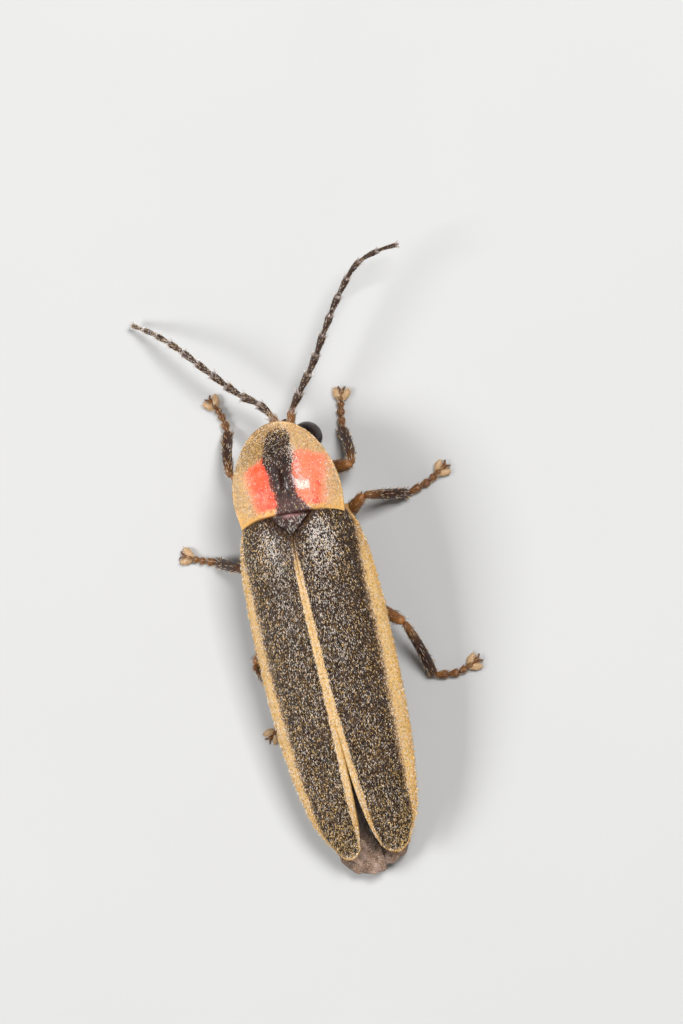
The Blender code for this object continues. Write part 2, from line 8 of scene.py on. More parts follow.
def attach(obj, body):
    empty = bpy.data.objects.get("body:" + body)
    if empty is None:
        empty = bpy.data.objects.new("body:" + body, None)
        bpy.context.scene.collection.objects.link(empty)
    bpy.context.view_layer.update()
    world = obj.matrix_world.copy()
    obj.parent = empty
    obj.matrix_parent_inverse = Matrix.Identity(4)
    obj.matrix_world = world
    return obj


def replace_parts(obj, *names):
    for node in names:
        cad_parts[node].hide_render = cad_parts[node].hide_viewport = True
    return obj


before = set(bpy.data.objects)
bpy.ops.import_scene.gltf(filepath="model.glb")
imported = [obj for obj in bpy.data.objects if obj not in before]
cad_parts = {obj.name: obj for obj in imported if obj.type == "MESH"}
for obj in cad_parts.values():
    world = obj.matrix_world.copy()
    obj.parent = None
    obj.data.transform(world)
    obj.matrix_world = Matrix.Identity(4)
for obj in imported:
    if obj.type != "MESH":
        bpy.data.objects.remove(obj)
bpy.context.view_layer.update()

# Trunk. The body under the wing covers is a row of hard rings joined by soft skin: the thorax that
# carries the legs, the dark belly rings, the two pale rings that glow, and the last ring. It is
# one skin over its whole length, a tube whose rings step where one plate slides under the next.
MM = 0.001
PITCH = math.radians(7.5)
BODY_AT = np.array([0.10, 1.75, 0.25])
TRUNK_SPAN = (-4.96, 5.36)
TRUNK_HALF_WIDTH = ((-5.0, 0.70), (-4.4, 1.00), (-3.6, 1.08), (-2.4, 1.15), (-0.8, 1.20), (0.2, 1.26),
                    (1.5, 1.42), (2.8, 1.36), (3.8, 1.18), (4.6, 0.96), (5.36, 0.62))
TRUNK_TOP = ((-5.0, 1.24), (-4.4, 1.60), (-3.7, 1.75), (-3.1, 1.79), (-2.5, 1.46), (-0.8, 1.41),
             (0.5, 1.36), (2.0, 1.26), (3.0, 1.13), (4.0, 0.98), (5.36, 0.73))
TRUNK_UNDER = ((-5.0, 0.30), (-4.4, 0.34), (-3.6, 0.42), (-2.4, 0.46), (-0.8, 0.50), (1.5, 0.46),
               (3.0, 0.48), (4.0, 0.52), (5.36, 0.58))
WAIST = -3.83
RING_EDGES = (-3.83, -2.05, -0.58, 0.12, 0.86, 1.62, 2.38, 3.19, 3.92, 4.65, 5.30)
RING_STEP = 0.085
BELLY_DARK = (0.045, 0.026, 0.016)
BELLY_BROWN = (0.075, 0.042, 0.024)
BELLY_EDGE = (0.20, 0.11, 0.05)
GLOW_PALE = (0.72, 0.66, 0.34)
GLOW_CREAM = (0.80, 0.76, 0.50)


def follow(stations, place):
    """The value at a place on a smooth curve through (place, value) stations."""
    places, values = np.array(stations, dtype=float).T
    slopes = np.gradient(values, places)
    place = np.clip(np.asarray(place, dtype=float), places[0], places[-1])
    left = np.clip(np.searchsorted(places, place) - 1, 0, len(places) - 2)
    step = places[left + 1] - places[left]
    t = (place - places[left]) / step
    return ((1 + 2 * t) * (1 - t) ** 2 * values[left] + t * (1 - t) ** 2 * step * slopes[left]
            + t * t * (3 - 2 * t) * values[left + 1] + t * t * (t - 1) * step * slopes[left + 1])


def ease(start, stop, value):
    """0 up to the start, 1 past the stop, and a smooth run between; the start may be the higher."""
    t = np.clip((value - start) / (stop - start), 0, 1)
    return t * t * (3 - 2 * t)


def bell(distance, width):
    """1 at no distance, and less on both sides: e to the power of -(distance / width) squared."""
    return np.exp(-(distance / width) ** 2)


def on_body(points):
    """Tips the level trunk down at the tail by its slope and lifts it to its height over the floor."""
    x, y, z = np.moveaxis(points, -1, 0)
    tipped = (x, y * math.cos(PITCH) + z * math.sin(PITCH), z * math.cos(PITCH) - y * math.sin(PITCH))
    return np.stack(tipped, axis=-1) + BODY_AT


def unit(vectors):
    """Vectors of length one."""
    return vectors / np.maximum(np.linalg.norm(vectors, axis=-1, keepdims=True), 1e-12)


def quads_of(index):
    """The four-sided faces of a grid of point numbers."""
    corners = (index[:-1, :-1], index[1:, :-1], index[1:, 1:], index[:-1, 1:])
    return np.stack(corners, axis=-1).reshape(-1, 4)


def tube(rings):
    """A closed tube: faces between neighbouring rings, and a fan to a pole in each end ring."""
    rows, sides = rings.shape[:2]
    index = np.arange(rows * sides).reshape(rows, sides)
    wrapped = np.concatenate([index, index[:, :1]], axis=1)
    poles = np.stack([rings[0].mean(axis=0), rings[-1].mean(axis=0)])
    first = np.stack([np.full(sides, rows * sides), wrapped[0, :-1], wrapped[0, 1:]], axis=1)
    last = np.stack([np.full(sides, rows * sides + 1), wrapped[-1, 1:], wrapped[-1, :-1]], axis=1)
    faces = quads_of(wrapped).tolist() + first.tolist() + last.tolist()
    return np.concatenate([rings.reshape(-1, 3), poles]), faces


def with_poles(values):
    """Numbers of a tube's ring points, and their end means for its two poles."""
    return np.concatenate([values.ravel(), [values[0].mean(), values[-1].mean()]])


def outward(points, faces):
    """The faces, turned round where the closed shape's signed volume is below zero."""
    fans = np.array([(face[0], face[i], face[i + 1]) for face in faces for i in range(1, len(face) - 1)])
    a, b, c = points[fans[:, 0]], points[fans[:, 1]], points[fans[:, 2]]
    volume = np.einsum("ij,ij->i", a, np.cross(b, c)).sum()
    return faces if volume > 0 else [face[::-1] for face in faces]


def add_mesh(name, points, faces, notes, finish):
    """A mesh of points in millimetres; notes are numbers kept on its points."""
    mesh = bpy.data.meshes.new(name)
    mesh.from_pydata((points * MM).tolist(), [], faces)
    for note, values in notes.items():
        layer = mesh.attributes.new(note, "FLOAT", "POINT")
        layer.data.foreach_set("value", np.asarray(values, dtype=np.float32))
    mesh.shade_smooth()
    mesh.materials.append(finish)
    piece = bpy.data.objects.new(name, mesh)
    bpy.context.scene.collection.objects.link(piece)
    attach(piece, "root")
    return piece


def add_piece(name, shape, finish, solids, notes=None):
    """A closed piece of the animal, which takes the place of its plain solids."""
    points, faces = shape
    faces = outward(points - points.mean(axis=0), faces)
    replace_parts(add_mesh(name, points, faces, notes or {}, finish), *solids)


class Amount:
    """A number or colour that changes over a surface; arithmetic on it adds Math nodes."""

    def __init__(self, finish, socket):
        self.finish = finish
        self.socket = socket

    def maths(self, operation, first, second):
        return self.finish.node("ShaderNodeMath", {"operation": operation}, {0: first, 1: second})

    def __add__(self, other):
        return self.maths("ADD", self, other)

    def __sub__(self, other):
        return self.maths("SUBTRACT", self, other)

    def __rsub__(self, other):
        return self.maths("SUBTRACT", other, self)

    def __mul__(self, other):
        return self.maths("MULTIPLY", self, other)

    __radd__ = __add__
    __rmul__ = __mul__


class Finish:
    """A material: one shader whose steady values are set on its own sockets."""

    def __init__(self, name, steady):
        self.material = bpy.data.materials.new(name)
        self.material.use_nodes = True
        self.tree = self.material.node_tree
        self.shader = self.tree.nodes["Principled BSDF"]
        for socket, value in steady.items():
            self.shader.inputs[socket].default_value = value
        spot = self.node("ShaderNodeTexCoord", output="Object")
        self.spot = self.node("ShaderNodeMapping", {}, {"Vector": spot, "Scale": (1 / MM,) * 3})

    def node(self, kind, settings=None, sockets=None, output=0):
        """Adds a node: its settings first, then the values or links of its sockets."""
        node = self.tree.nodes.new(kind)
        for key, value in (settings or {}).items():
            setattr(node, key, value)
        for key, value in (sockets or {}).items():
            self.put(node.inputs[key], value)
        return Amount(self, node.outputs[output])

    def put(self, socket, value):
        if isinstance(value, Amount):
            self.tree.links.new(value.socket, socket)
        elif isinstance(value, tuple) and len(value) == 3 and socket.type == "RGBA":
            socket.default_value = (*value, 1.0)
        else:
            socket.default_value = value

    def note(self, name):
        """A number kept on the points of the piece."""
        return self.node("ShaderNodeAttribute", {"attribute_name": name}, output="Fac")

    def noise(self, size, detail=2.0, squeeze=None):
        """Cloudy noise from 0 to 1, its lumps of a size in millimetres, or squeezed along Y."""
        spot = self.spot
        if squeeze:
            spot = self.node("ShaderNodeMapping", {}, {"Vector": spot, "Scale": (1.0, squeeze, 1.0)})
        sockets = {"Vector": spot, "Scale": 1 / size, "Detail": detail}
        return self.node("ShaderNodeTexNoise", {}, sockets)

    def grains(self, size):
        """Distance to the nearest of many scattered grains of a size in millimetres."""
        sockets = {"Vector": self.spot, "Scale": 1 / size}
        return self.node("ShaderNodeTexVoronoi", {}, sockets, "Distance")

    def span(self, value, low, high, most=1.0):
        """A smooth step from 0 to its most as a value goes from one limit to the other."""
        sockets = {"Value": value, "From Min": low, "From Max": high, "To Max": most}
        return self.node("ShaderNodeMapRange", {"interpolation_type": "SMOOTHSTEP"}, sockets)

    def blend(self, share, first, second):
        """The first colour, given over to the second by a share."""
        sockets = {0: share, 6: first, 7: second}
        return self.node("ShaderNodeMix", {"data_type": "RGBA"}, sockets, 2)

    def fade(self, first, second, value, low, high, most=1.0):
        """The first colour, given over to the second as a value goes from one limit to the other."""
        return self.blend(self.span(value, low, high, most), first, second)

    def drive(self, socket, value):
        self.put(self.shader.inputs[socket], value)

    def made(self, colour, roughness, relief, depth):
        """The material, with its colour, its roughness and a relief of a depth in millimetres."""
        bump = self.node("ShaderNodeBump", {}, {"Height": relief, "Distance": depth * MM}, "Normal")
        self.drive("Base Color", colour)
        self.drive("Roughness", roughness)
        self.drive("Normal", bump)
        return self.material


def belly_finish():
    """Dark chitin with paler hind edges on its rings, and two rings of cream that glow at night."""
    finish = Finish("belly_chitin", {"IOR": 1.5})
    cloud = finish.noise(0.25, 3.0)
    dark = finish.fade(BELLY_DARK, BELLY_BROWN, cloud, 0.3, 0.75)
    dark = finish.blend(finish.note("ring_edge") * 0.6, dark, BELLY_EDGE)
    pale = finish.fade(GLOW_PALE, GLOW_CREAM, finish.noise(0.09, 3.0), 0.35, 0.8)
    colour = finish.blend(finish.note("glow"), dark, pale)
    relief = finish.grains(0.055) + 1.2 * finish.noise(0.20, 3.0, squeeze=3.0)
    return finish.made(colour, 0.34 + 0.22 * cloud, relief, 0.020)


def along_span(span, share):
    """A place between two ends, its steps shorter near both: half a turn of a cosine."""
    return span[0] + (span[1] - span[0]) * (1 - np.cos(math.pi * share)) / 2


def trunk_spot(turn, share):
    """A point of the trunk: an ellipse of the outline's size there, round at both ends.

    The turn runs once round from the left side over the top, and the share from front to tail.
    Each ring's size grows a little towards its hind edge and falls back past it.
    """
    y = along_span(TRUNK_SPAN, share)
    edges = np.array(RING_EDGES)
    ring = np.clip(np.searchsorted(edges, y) - 1, 0, len(edges) - 2)
    within = np.clip((y - edges[ring]) / (edges[ring + 1] - edges[ring]), 0, 1)
    behind = (y > edges[0]) & (y < edges[-1])
    size = np.where(behind, 1 + RING_STEP * (within ** 2 - 0.75 - 0.25 * np.exp(-within / 0.06)), 0.97)
    size = size * (1 - 0.10 * bell(y - WAIST, 0.16)) * np.sin(math.pi * share) ** 0.34
    lift = np.sin(math.tau * turn)
    side_groove = 1 - 0.05 * bell(lift + 0.22, 0.10) + 0.03 * bell(lift + 0.5, 0.2)
    x = np.cos(math.tau * turn) * follow(TRUNK_HALF_WIDTH, y) * size * side_groove
    top, under = follow(TRUNK_TOP, y), follow(TRUNK_UNDER, y)
    z = (top + under) / 2 + np.sign(lift) * np.abs(lift) ** 0.85 * (top - under) / 2 * size
    return on_body(np.stack([x, y, z], axis=-1))


def tube_grid(low, high, rows, sides):
    """Shares from low to high down the rows of a tube, and turns from 0 to 1 round its sides."""
    return np.meshgrid(np.linspace(low, high, rows), np.arange(sides) / sides, indexing="ij")


share, turn = tube_grid(0.02, 0.985, rows=260, sides=56)
trunk_y = along_span(TRUNK_SPAN, share)
belly_side = np.clip(-np.sin(math.tau * turn) * 2.2 + 0.5, 0, 1)
glow = ease(3.17, 3.23, trunk_y) * ease(4.66, 4.60, trunk_y) * belly_side
ring_edge = sum(bell(trunk_y - edge + 0.05, 0.05) for edge in RING_EDGES[2:])
add_piece("trunk_skin", tube(trunk_spot(turn, share)), belly_finish(),
          ("prothorax", "thorax", "abdomen", "pygidium", "lantern"),
          {"glow": with_poles(glow), "ring_edge": with_poles(ring_edge)})

TRUNK_HAIRS = 1900
SPIKE = ((0, 1, 4, 3), (1, 2, 5, 4), (2, 0, 3, 5), (3, 4, 6), (4, 5, 6), (5, 3, 6), (2, 1, 0))
PATCH = 0.003
PATCH_CORNERS = ((-0.5, 0.0), (0.0, -0.2), (0.5, 0.0), (-0.5, 0.5), (0.0, 0.4), (0.5, 0.5), (0.0, 0.8))


def hair_finish(name, dark, gold, silver):
    """Stiff shining hairs in three tones, picked for each hair by its own number from 0 to 1."""
    finish = Finish(name, {"Roughness": 0.28, "IOR": 1.55, "Metallic": 0.45, "Coat Weight": 0.3,
                           "Coat Roughness": 0.12})
    tone = finish.note("tone")
    warm = finish.fade(dark, gold, tone, 0.25, 0.45)
    finish.drive("Base Color", finish.fade(warm, silver, tone, 0.60, 0.80))
    return finish.material


def circle(across, over, sides):
    """Directions round a circle, from two that lie in its plane, at each of many places."""
    angle = np.arange(sides)[:, None] * math.tau / sides
    return np.cos(angle) * across[:, None] + np.sin(angle) * over[:, None]


def add_hairs(name, roots, start, end, lengths, widths, u, v, tone, finish, slot):
    """Hairs as one mesh: each is a three-sided spike from its root over a bend to its point.

    Bend = root + half the length along its start direction, point = bend + the other half along
    its end direction. On the bake map each hair is a small patch at its root's u and v.
    """
    count, corners = len(roots), len(PATCH_CORNERS)
    lengths, widths = (np.broadcast_to(values, count)[:, None] for values in (lengths, widths))
    start, end = unit(start), unit(end)
    bend = roots + start * lengths / 2
    point = bend + end * lengths / 2
    aside = unit(np.cross(start, (0.31, 0.22, 0.93)))
    ring = circle(aside, np.cross(start, aside), 3) * widths[:, None] / 2
    points = np.concatenate([roots[:, None] + ring, bend[:, None] + ring * 0.72, point[:, None]], axis=1)
    first = corners * np.arange(count)[:, None]
    faces = [spot for face in SPIKE for spot in (first + face).tolist()]
    coat = add_mesh(name, points.reshape(-1, 3), faces, {"tone": np.repeat(tone, corners)}, finish)
    centres = 0.02 + 0.96 * np.stack([u, v], axis=1)
    places = (centres[:, None] + np.array(PATCH_CORNERS) * PATCH).reshape(-1, 2)
    numbers = np.empty(len(coat.data.loops), dtype=np.int32)
    coat.data.loops.foreach_get("vertex_index", numbers)
    layer = coat.data.uv_layers.new(name="OFBake")
    layer.data.foreach_set("uv", places[numbers].astype(np.float32).ravel())


def skin_axes(place, u, v, step=1e-3):
    """Directions on a surface at its places: with u, with v, and across both."""
    across = unit(place(np.clip(u + step, 0, 1), v) - place(np.clip(u - step, 0, 1), v))
    along = unit(place(u, np.clip(v + step, 0, 1)) - place(u, np.clip(v - step, 0, 1)))
    return across, along, unit(np.cross(across, along))


draw = np.random.default_rng(30)
turn, share = draw.uniform(0, 1, TRUNK_HAIRS), draw.uniform(0.10, 0.95, TRUNK_HAIRS)
around, along, inward = skin_axes(trunk_spot, turn, share)
lean = along + draw.normal(0, 0.25, (TRUNK_HAIRS, 1)) * around
add_hairs("trunk_hairs", trunk_spot(turn, share) + inward * 0.008, lean - 0.55 * inward,
          lean - 0.15 * inward, draw.uniform(0.08, 0.15, TRUNK_HAIRS), 0.013, turn, share,
          draw.choice((0.1, 0.52, 0.9), TRUNK_HAIRS, p=(0.5, 0.35, 0.15)),
          hair_finish("trunk_hairs", (0.09, 0.05, 0.03), (0.60, 0.42, 0.22), (0.72, 0.66, 0.60)), "cuticle")

# Head. A small dark capsule held under the shield, nearly all of it eye: between the eyes the
# face is a narrow hollow with the two feeler sockets close together, and a neck of soft skin
# goes back into the thorax.
HEAD_MIDDLE = 0.08
HEAD_SPAN = (-5.99, -4.70)
HEAD_LEVEL = ((-5.99, 0.36), (-5.5, 0.33), (-5.1, 0.50), (-4.70, 0.72))
HEAD_HALF_WIDTH = ((-5.99, 0.36), (-5.7, 0.46), (-5.4, 0.50), (-5.1, 0.46), (-4.7, 0.42))
HEAD_HALF_HEIGHT = ((-5.99, 0.34), (-5.7, 0.44), (-5.4, 0.46), (-5.1, 0.36), (-4.7, 0.30))
FACE_HOLLOW = 0.12
HEAD_DARK = (0.030, 0.018, 0.012)
HEAD_BROWN = (0.12, 0.060, 0.028)
EYE_SPREAD = 0.56
EYE_PLACE = (-5.46, 0.27)
EYE_SIZE = (0.42, 0.42, 0.43)
EYE_BLACK = (0.008, 0.004, 0.004)
EYE_BROWN = (0.024, 0.009, 0.006)


def head_finish():
    """Dark glossy chitin, browner where it is thin."""
    finish = Finish("head_chitin", {"IOR": 1.5})
    cloud = finish.noise(0.18, 3.0)
    colour = finish.fade(HEAD_DARK, HEAD_BROWN, cloud, 0.35, 0.8)
    return finish.made(colour, 0.30 + 0.2 * cloud, finish.grains(0.045), 0.008)


def head_spot(turn, share):
    """A point of the head: ellipses along Y, closed over a round front, the face pressed in."""
    y = along_span(HEAD_SPAN, share)
    close = np.sin(math.pi * share) ** 0.45
    x = np.cos(math.tau * turn) * follow(HEAD_HALF_WIDTH, y) * close
    z = follow(HEAD_LEVEL, y) + np.sin(math.tau * turn) * follow(HEAD_HALF_HEIGHT, y) * close
    y = y + FACE_HOLLOW * bell(x, 0.16) * ease(-5.75, -5.99, y)
    return on_body(np.stack([x + HEAD_MIDDLE, y, z], axis=-1))


share, turn = tube_grid(0.03, 0.97, rows=60, sides=44)
add_piece("head_skin", tube(head_spot(turn, share)), head_finish(), ("head",))


def eye_finish():
    """Black glassy eye, its surface a close net of tiny round lenses."""
    finish = Finish("eye_lenses", {"IOR": 1.40, "Coat Weight": 0.25, "Coat Roughness": 0.05})
    colour = finish.fade(EYE_BLACK, EYE_BROWN, finish.noise(0.3, 1.0), 0.3, 0.8)
    return finish.made(colour, 0.22, 1 - finish.grains(0.026), 0.0045)


def ball(size, rows, sides):
    """A ball drawn out to three half sizes, its poles along Y."""
    share, turn = tube_grid(0.02, 0.98, rows, sides)
    girth, angle = np.sin(math.pi * share), math.tau * turn
    spots = (girth * np.cos(angle), -np.cos(math.pi * share), girth * np.sin(angle))
    return np.stack(spots, axis=-1) * size


eye_lenses = eye_finish()
for side, hand in ((1, "left"), (-1, "right")):
    eye = ball(EYE_SIZE, 40, 40) + (HEAD_MIDDLE + side * EYE_SPREAD, *EYE_PLACE)
    add_piece("eye_" + hand + "_lens", tube(on_body(eye)), eye_lenses, ("eye_" + hand,))

# Mouth. Two slender curved jaws under a small lip, and two pairs of palps that taste: each palp
# is a chain of short pieces, its last one broad.
MOUTH_PLACE = (-5.66, -0.12)
JAW = ((0.10, 0.06, 0.02), (0.17, -0.12, -0.06), (0.16, -0.22, -0.14), (0.08, -0.28, -0.20),
       (0.01, -0.29, -0.23))
JAW_RADII = (0.075, 0.075, 0.06, 0.035, 0.012)
PALP = ((0.16, 0.10, -0.04), (0.25, 0.08, -0.14), (0.29, 0.05, -0.23), (0.31, 0.02, -0.32),
        (0.31, -0.03, -0.44))
PALP_RADII = (0.06, 0.068, 0.062, 0.088, 0.03)
INNER_PALP = ((0.07, 0.06, -0.10), (0.10, 0.0, -0.20), (0.11, -0.04, -0.27), (0.11, -0.08, -0.33))
INNER_PALP_RADII = (0.05, 0.055, 0.062, 0.02)
MOUTH_BASE = (0.27, 0.24, 0.19)
LIP = (0.15, 0.12, 0.07)
LIP_PLACE = (HEAD_MIDDLE, -5.88, 0.02)
MOUTH_BROWN = (0.12, 0.050, 0.020)
MOUTH_DARK = (0.05, 0.025, 0.014)


def run_along(path):
    """The distance along a path at each of its points."""
    return np.concatenate([[0], np.cumsum(np.linalg.norm(np.diff(path, axis=0), axis=1))])


def curve_through(knots, shares):
    """Points at shares of the way along a smooth curve through chosen points."""
    run = run_along(knots)
    return np.stack([follow(np.stack([run, line], axis=1), shares * run[-1]) for line in knots.T], axis=1)


def spaced(values):
    """Values as stations at even steps from 0 to 1."""
    return np.stack([np.linspace(0, 1, len(values)), values], axis=1)


def path_axes(middle):
    """Directions at each point of a path: along it, level across it, and over it."""
    ahead = unit(np.gradient(middle, axis=0))
    across = unit(np.cross(ahead, (0.0, 0.0, 1.0)))
    return ahead, across, np.cross(across, ahead)


def limb(path, radii, sides, rows, joints=(), flat=1.0):
    """A round limb: a smooth path through chosen points, a ring of a radius round each of its points.

    The ring lies across the path's direction; flat is its height over its width. Joints are
    shares of the length where the limb is drawn in.
    """
    path = np.array(path, dtype=float)
    share = np.linspace(0, 1, rows)
    middle = curve_through(path, share)
    girth = follow(spaced(radii), share)
    for joint in joints:
        girth = girth * (1 - 0.22 * bell(share - joint, 0.018))
    ends = np.minimum(share, 1 - share) * run_along(path)[-1]
    rounding = 1 - (1 - np.clip(ends / np.maximum(girth, 1e-6), 0, 1)) ** 2
    girth = girth * np.sqrt(np.clip(rounding, 0.02, 1))
    ahead, across, over = path_axes(middle)
    return middle[:, None] + girth[:, None, None] * circle(across, over * flat, sides)


def join(shapes):
    """Several closed shapes as one list of points and faces."""
    points, faces, count = [], [], 0
    for spots, sheets in shapes:
        points.append(spots)
        faces += [[corner + count for corner in sheet] for sheet in sheets]
        count += len(spots)
    return np.concatenate(points), faces


def mouth_finish():
    """Warm brown chitin, darker in patches."""
    finish = Finish("mouth_chitin", {"IOR": 1.5})
    cloud = finish.noise(0.12, 2.0)
    colour = finish.fade(MOUTH_BROWN, MOUTH_DARK, cloud, 0.3, 0.8)
    return finish.made(colour, 0.3 + 0.2 * cloud, finish.noise(0.03, 2.0), 0.008)


mouth = [tube(on_body(ball(MOUTH_BASE, 20, 24) + (HEAD_MIDDLE, *MOUTH_PLACE))),
         tube(on_body(ball(LIP, 16, 20) + LIP_PLACE))]
for side in (-1, 1):
    for path, radii, joints in ((JAW, JAW_RADII, ()), (PALP, PALP_RADII, (0.22, 0.45, 0.64)),
                                (INNER_PALP, INNER_PALP_RADII, (0.35, 0.65))):
        spots = np.array(path) * (side, 1, 1) + (HEAD_MIDDLE, *MOUTH_PLACE)
        mouth.append(tube(on_body(limb(spots, radii, 12, 40, joints))))
add_piece("jaws_and_palps", join(mouth), mouth_finish(), ("mouthparts",))

# Feelers. Two threads of eleven dark brown segments, each a little wider at its far end, with
# short hairs all along and a ring of pale bristles round each far end.
FEELERS = {
    "left": ((0.20, -5.62, 0.98), (0.28, -5.86, 0.98), (0.35, -6.09, 1.02), (0.60, -6.45, 1.02),
             (1.05, -6.80, 1.05), (1.75, -7.54, 1.10), (2.50, -8.33, 0.95), (3.21, -8.88, 0.50),
             (3.88, -9.24, 0.02)),
    "right": ((-0.08, -5.62, 0.98), (-0.14, -5.86, 0.98), (-0.20, -6.09, 1.02), (-0.44, -6.46, 1.04),
              (-1.04, -7.25, 1.10), (-1.62, -8.16, 1.20), (-2.23, -9.02, 1.33), (-2.92, -9.72, 1.42),
              (-3.61, -9.93, 1.45), (-4.08, -9.97, 1.45)),
}
FEELER_SEGMENTS = 11
FEELER_RADII = (0.120, 0.112, 0.108, 0.106, 0.102, 0.098, 0.094, 0.086, 0.078, 0.066, 0.052)
FEELER_HAIRS, COLLAR_HAIRS = 1300, 30
FEELER_PALE_SHARE = {"left": 0.80, "right": 0.40}
FEELER_BROWN = (0.030, 0.013, 0.008)
FEELER_DUST = (0.070, 0.038, 0.024)
FEELER_COLLAR = (0.34, 0.24, 0.20)
FEELER_ROOT_TAN = (0.24, 0.10, 0.030)


def between(at, places, points):
    """Points at places along a row of points, on straight lines between neighbours."""
    return np.stack([np.interp(at, places, line) for line in points.T], axis=1)


def even_path(knots, rows):
    """Evenly spaced points on a smooth curve through chosen ones."""
    curve = curve_through(np.array(knots), np.linspace(0, 1, 600))
    length = run_along(curve)
    return between(np.linspace(0, length[-1], rows), length, curve)


def ring_notes(values, sides):
    """A number for each ring of a tube, repeated for its points and its two poles."""
    return np.concatenate([np.repeat(values, sides), values[[0, -1]]])


def feeler_finish():
    """Dull dark brown segments, paler at the root and at each far end."""
    finish = Finish("feeler_chitin", {"IOR": 1.38})
    cloud = finish.noise(0.08, 2.0)
    brown = finish.fade(FEELER_BROWN, FEELER_DUST, cloud, 0.3, 0.8)
    brown = finish.blend(finish.note("collar") * 0.55, brown, FEELER_COLLAR)
    colour = finish.blend(finish.note("scape"), brown, FEELER_ROOT_TAN)
    return finish.made(colour, 0.36 + 0.2 * cloud, finish.grains(0.035), 0.010)


feeler_chitin = feeler_finish()
feeler_hair = hair_finish("feeler_hairs", (0.08, 0.045, 0.03), (0.80, 0.56, 0.32), (0.92, 0.84, 0.80))
for seed, (hand, knots) in enumerate(FEELERS.items()):
    rows, sides = FEELER_SEGMENTS * 14 + 1, 14
    middle = even_path(np.array(knots) + BODY_AT, rows)
    share = np.linspace(0, 1, rows)
    within = (share * FEELER_SEGMENTS) % 1.0
    within[-1] = 1.0
    girth = follow(spaced(FEELER_RADII), share) * (0.62 + 0.42 * ease(0.0, 0.75, within))
    girth = girth * (1 - 0.40 * ease(0.86, 1.0, within))
    girth[0] *= 0.4
    girth[-1] *= 0.3
    ahead, across, over = path_axes(middle)
    add_piece("feeler_" + hand, tube(middle[:, None] + girth[:, None, None] * circle(across, over, sides)),
              feeler_chitin, ("antenna_" + hand,),
              {"collar": ring_notes(ease(0.78, 0.92, within), sides),
               "scape": ring_notes(ease(0.13, 0.06, share), sides)})
    draw = np.random.default_rng(40 + seed)
    place = draw.uniform(0.01, 0.99, FEELER_HAIRS)
    collar = (np.repeat(np.arange(1, FEELER_SEGMENTS + 1), COLLAR_HAIRS) - 0.12) / FEELER_SEGMENTS
    place = np.concatenate([place, np.clip(collar + draw.normal(0, 0.003, collar.size), 0, 0.995)])
    count = place.size
    long = np.arange(count) >= FEELER_HAIRS
    turn = draw.uniform(0, 1, count)
    row = place * (rows - 1)
    pick = np.round(row).astype(int)
    angle = math.tau * turn[:, None]
    out = np.cos(angle) * across[pick] + np.sin(angle) * over[pick]
    roots = between(row, np.arange(rows), middle)
    roots = roots + out * (np.interp(row, np.arange(rows), girth) * 0.92)[:, None]
    lean, rest = (ahead[pick] + out * (low + more * long)[:, None] + draw.normal(0, scatter, (count, 3))
                  for low, more, scatter in ((0.55, 0.75, 0.18), (0.15, 0.35, 0.1)))
    sizes = (0.075 + 0.070 * long) * draw.uniform(0.7, 1.25, count) * (1 - 0.35 * place)
    pale = draw.choice((0.52, 0.90), count, p=(0.65, 0.35))
    pale_share = FEELER_PALE_SHARE[hand] + 0.5 * ease(0.14, 0.04, place)
    tone = np.where(draw.uniform(0, 1, count) < pale_share, pale, 0.15)
    tone = np.where(long, 0.95, tone)
    add_hairs("feeler_hairs_" + hand, roots, lean, rest, sizes, 0.012 + 0.006 * (tone > 0.4), place, turn,
              tone, feeler_hair, "feeler")

# Legs. Each has a stout hip, a thigh and a shin of thin amber chitin shading to dark red-brown,
# and a foot of five pieces: the fourth is split into two pale pads, and two hooks end it. The
# places are hip and knee, and on the floor the ankle, the middle of the foot and the toe.
LEGS = {
    "leg_front_left": ((0.46, -4.42, 0.36), (1.80, -4.72, 1.02),
                       (1.88, -5.90), (1.98, -6.40), (2.25, -6.90)),
    "leg_front_right": ((-0.40, -4.42, 0.36), (-1.56, -4.44, 1.02),
                        (-1.24, -5.40), (-1.32, -5.95), (-1.45, -6.50)),
    "leg_mid_left": ((0.52, -2.62, 0.26), (1.84, -2.15, 0.90),
                     (2.88, -2.48), (3.34, -2.62), (3.84, -2.86)),
    "leg_mid_right": ((-0.52, -2.72, 0.26), (-1.72, -3.56, 1.06),
                      (-2.68, -3.33), (-3.30, -3.56), (-3.92, -3.96)),
    "leg_hind_left": ((0.62, -0.98, 0.14), (2.19, 0.38, 0.98),
                      (1.58, 1.80), (2.02, 2.20), (2.50, 2.56)),
    "leg_hind_right": ((-0.62, -0.98, 0.14), (-2.12, 0.0, 1.06),
                       (-2.38, 1.62), (-3.05, 1.66), (-3.78, 1.36)),
}
FOOT_LEVEL = 0.115 - BODY_AT[2]
HIP_RADII = (0.31, 0.29, 0.22, 0.13)
THIGH_RADII = (0.09, 0.15, 0.19, 0.185, 0.155, 0.115)
SHIN_RADII = (0.085, 0.12, 0.135, 0.14, 0.145, 0.125)
SHIN_BOW = (0.048, 0.0, 0.040)
FOOT_ROWS = 120
FOOT_STOPS = (0, 35, 59, 78, 95, 111)
FOOT_RADII = (0.105, 0.105, 0.10, 0.09, 0.065)
FOOT_SWELL = np.array((0.6, 0.8, 1.0, 1.08, 0.8))
FORK_STOP, HOOK_STOP = 88, 106
PAD = ((-0.08, 0.0, 0.0), (0.03, 0.085, 0.0), (0.16, 0.16, -0.02), (0.26, 0.185, -0.03))
PAD_RADII = (0.06, 0.085, 0.10, 0.085, 0.05)
HOOK = ((0.0, 0.02, 0.0), (0.07, 0.05, 0.03), (0.12, 0.09, 0.01), (0.14, 0.10, -0.05))
HOOK_RADII = (0.032, 0.030, 0.022, 0.008)
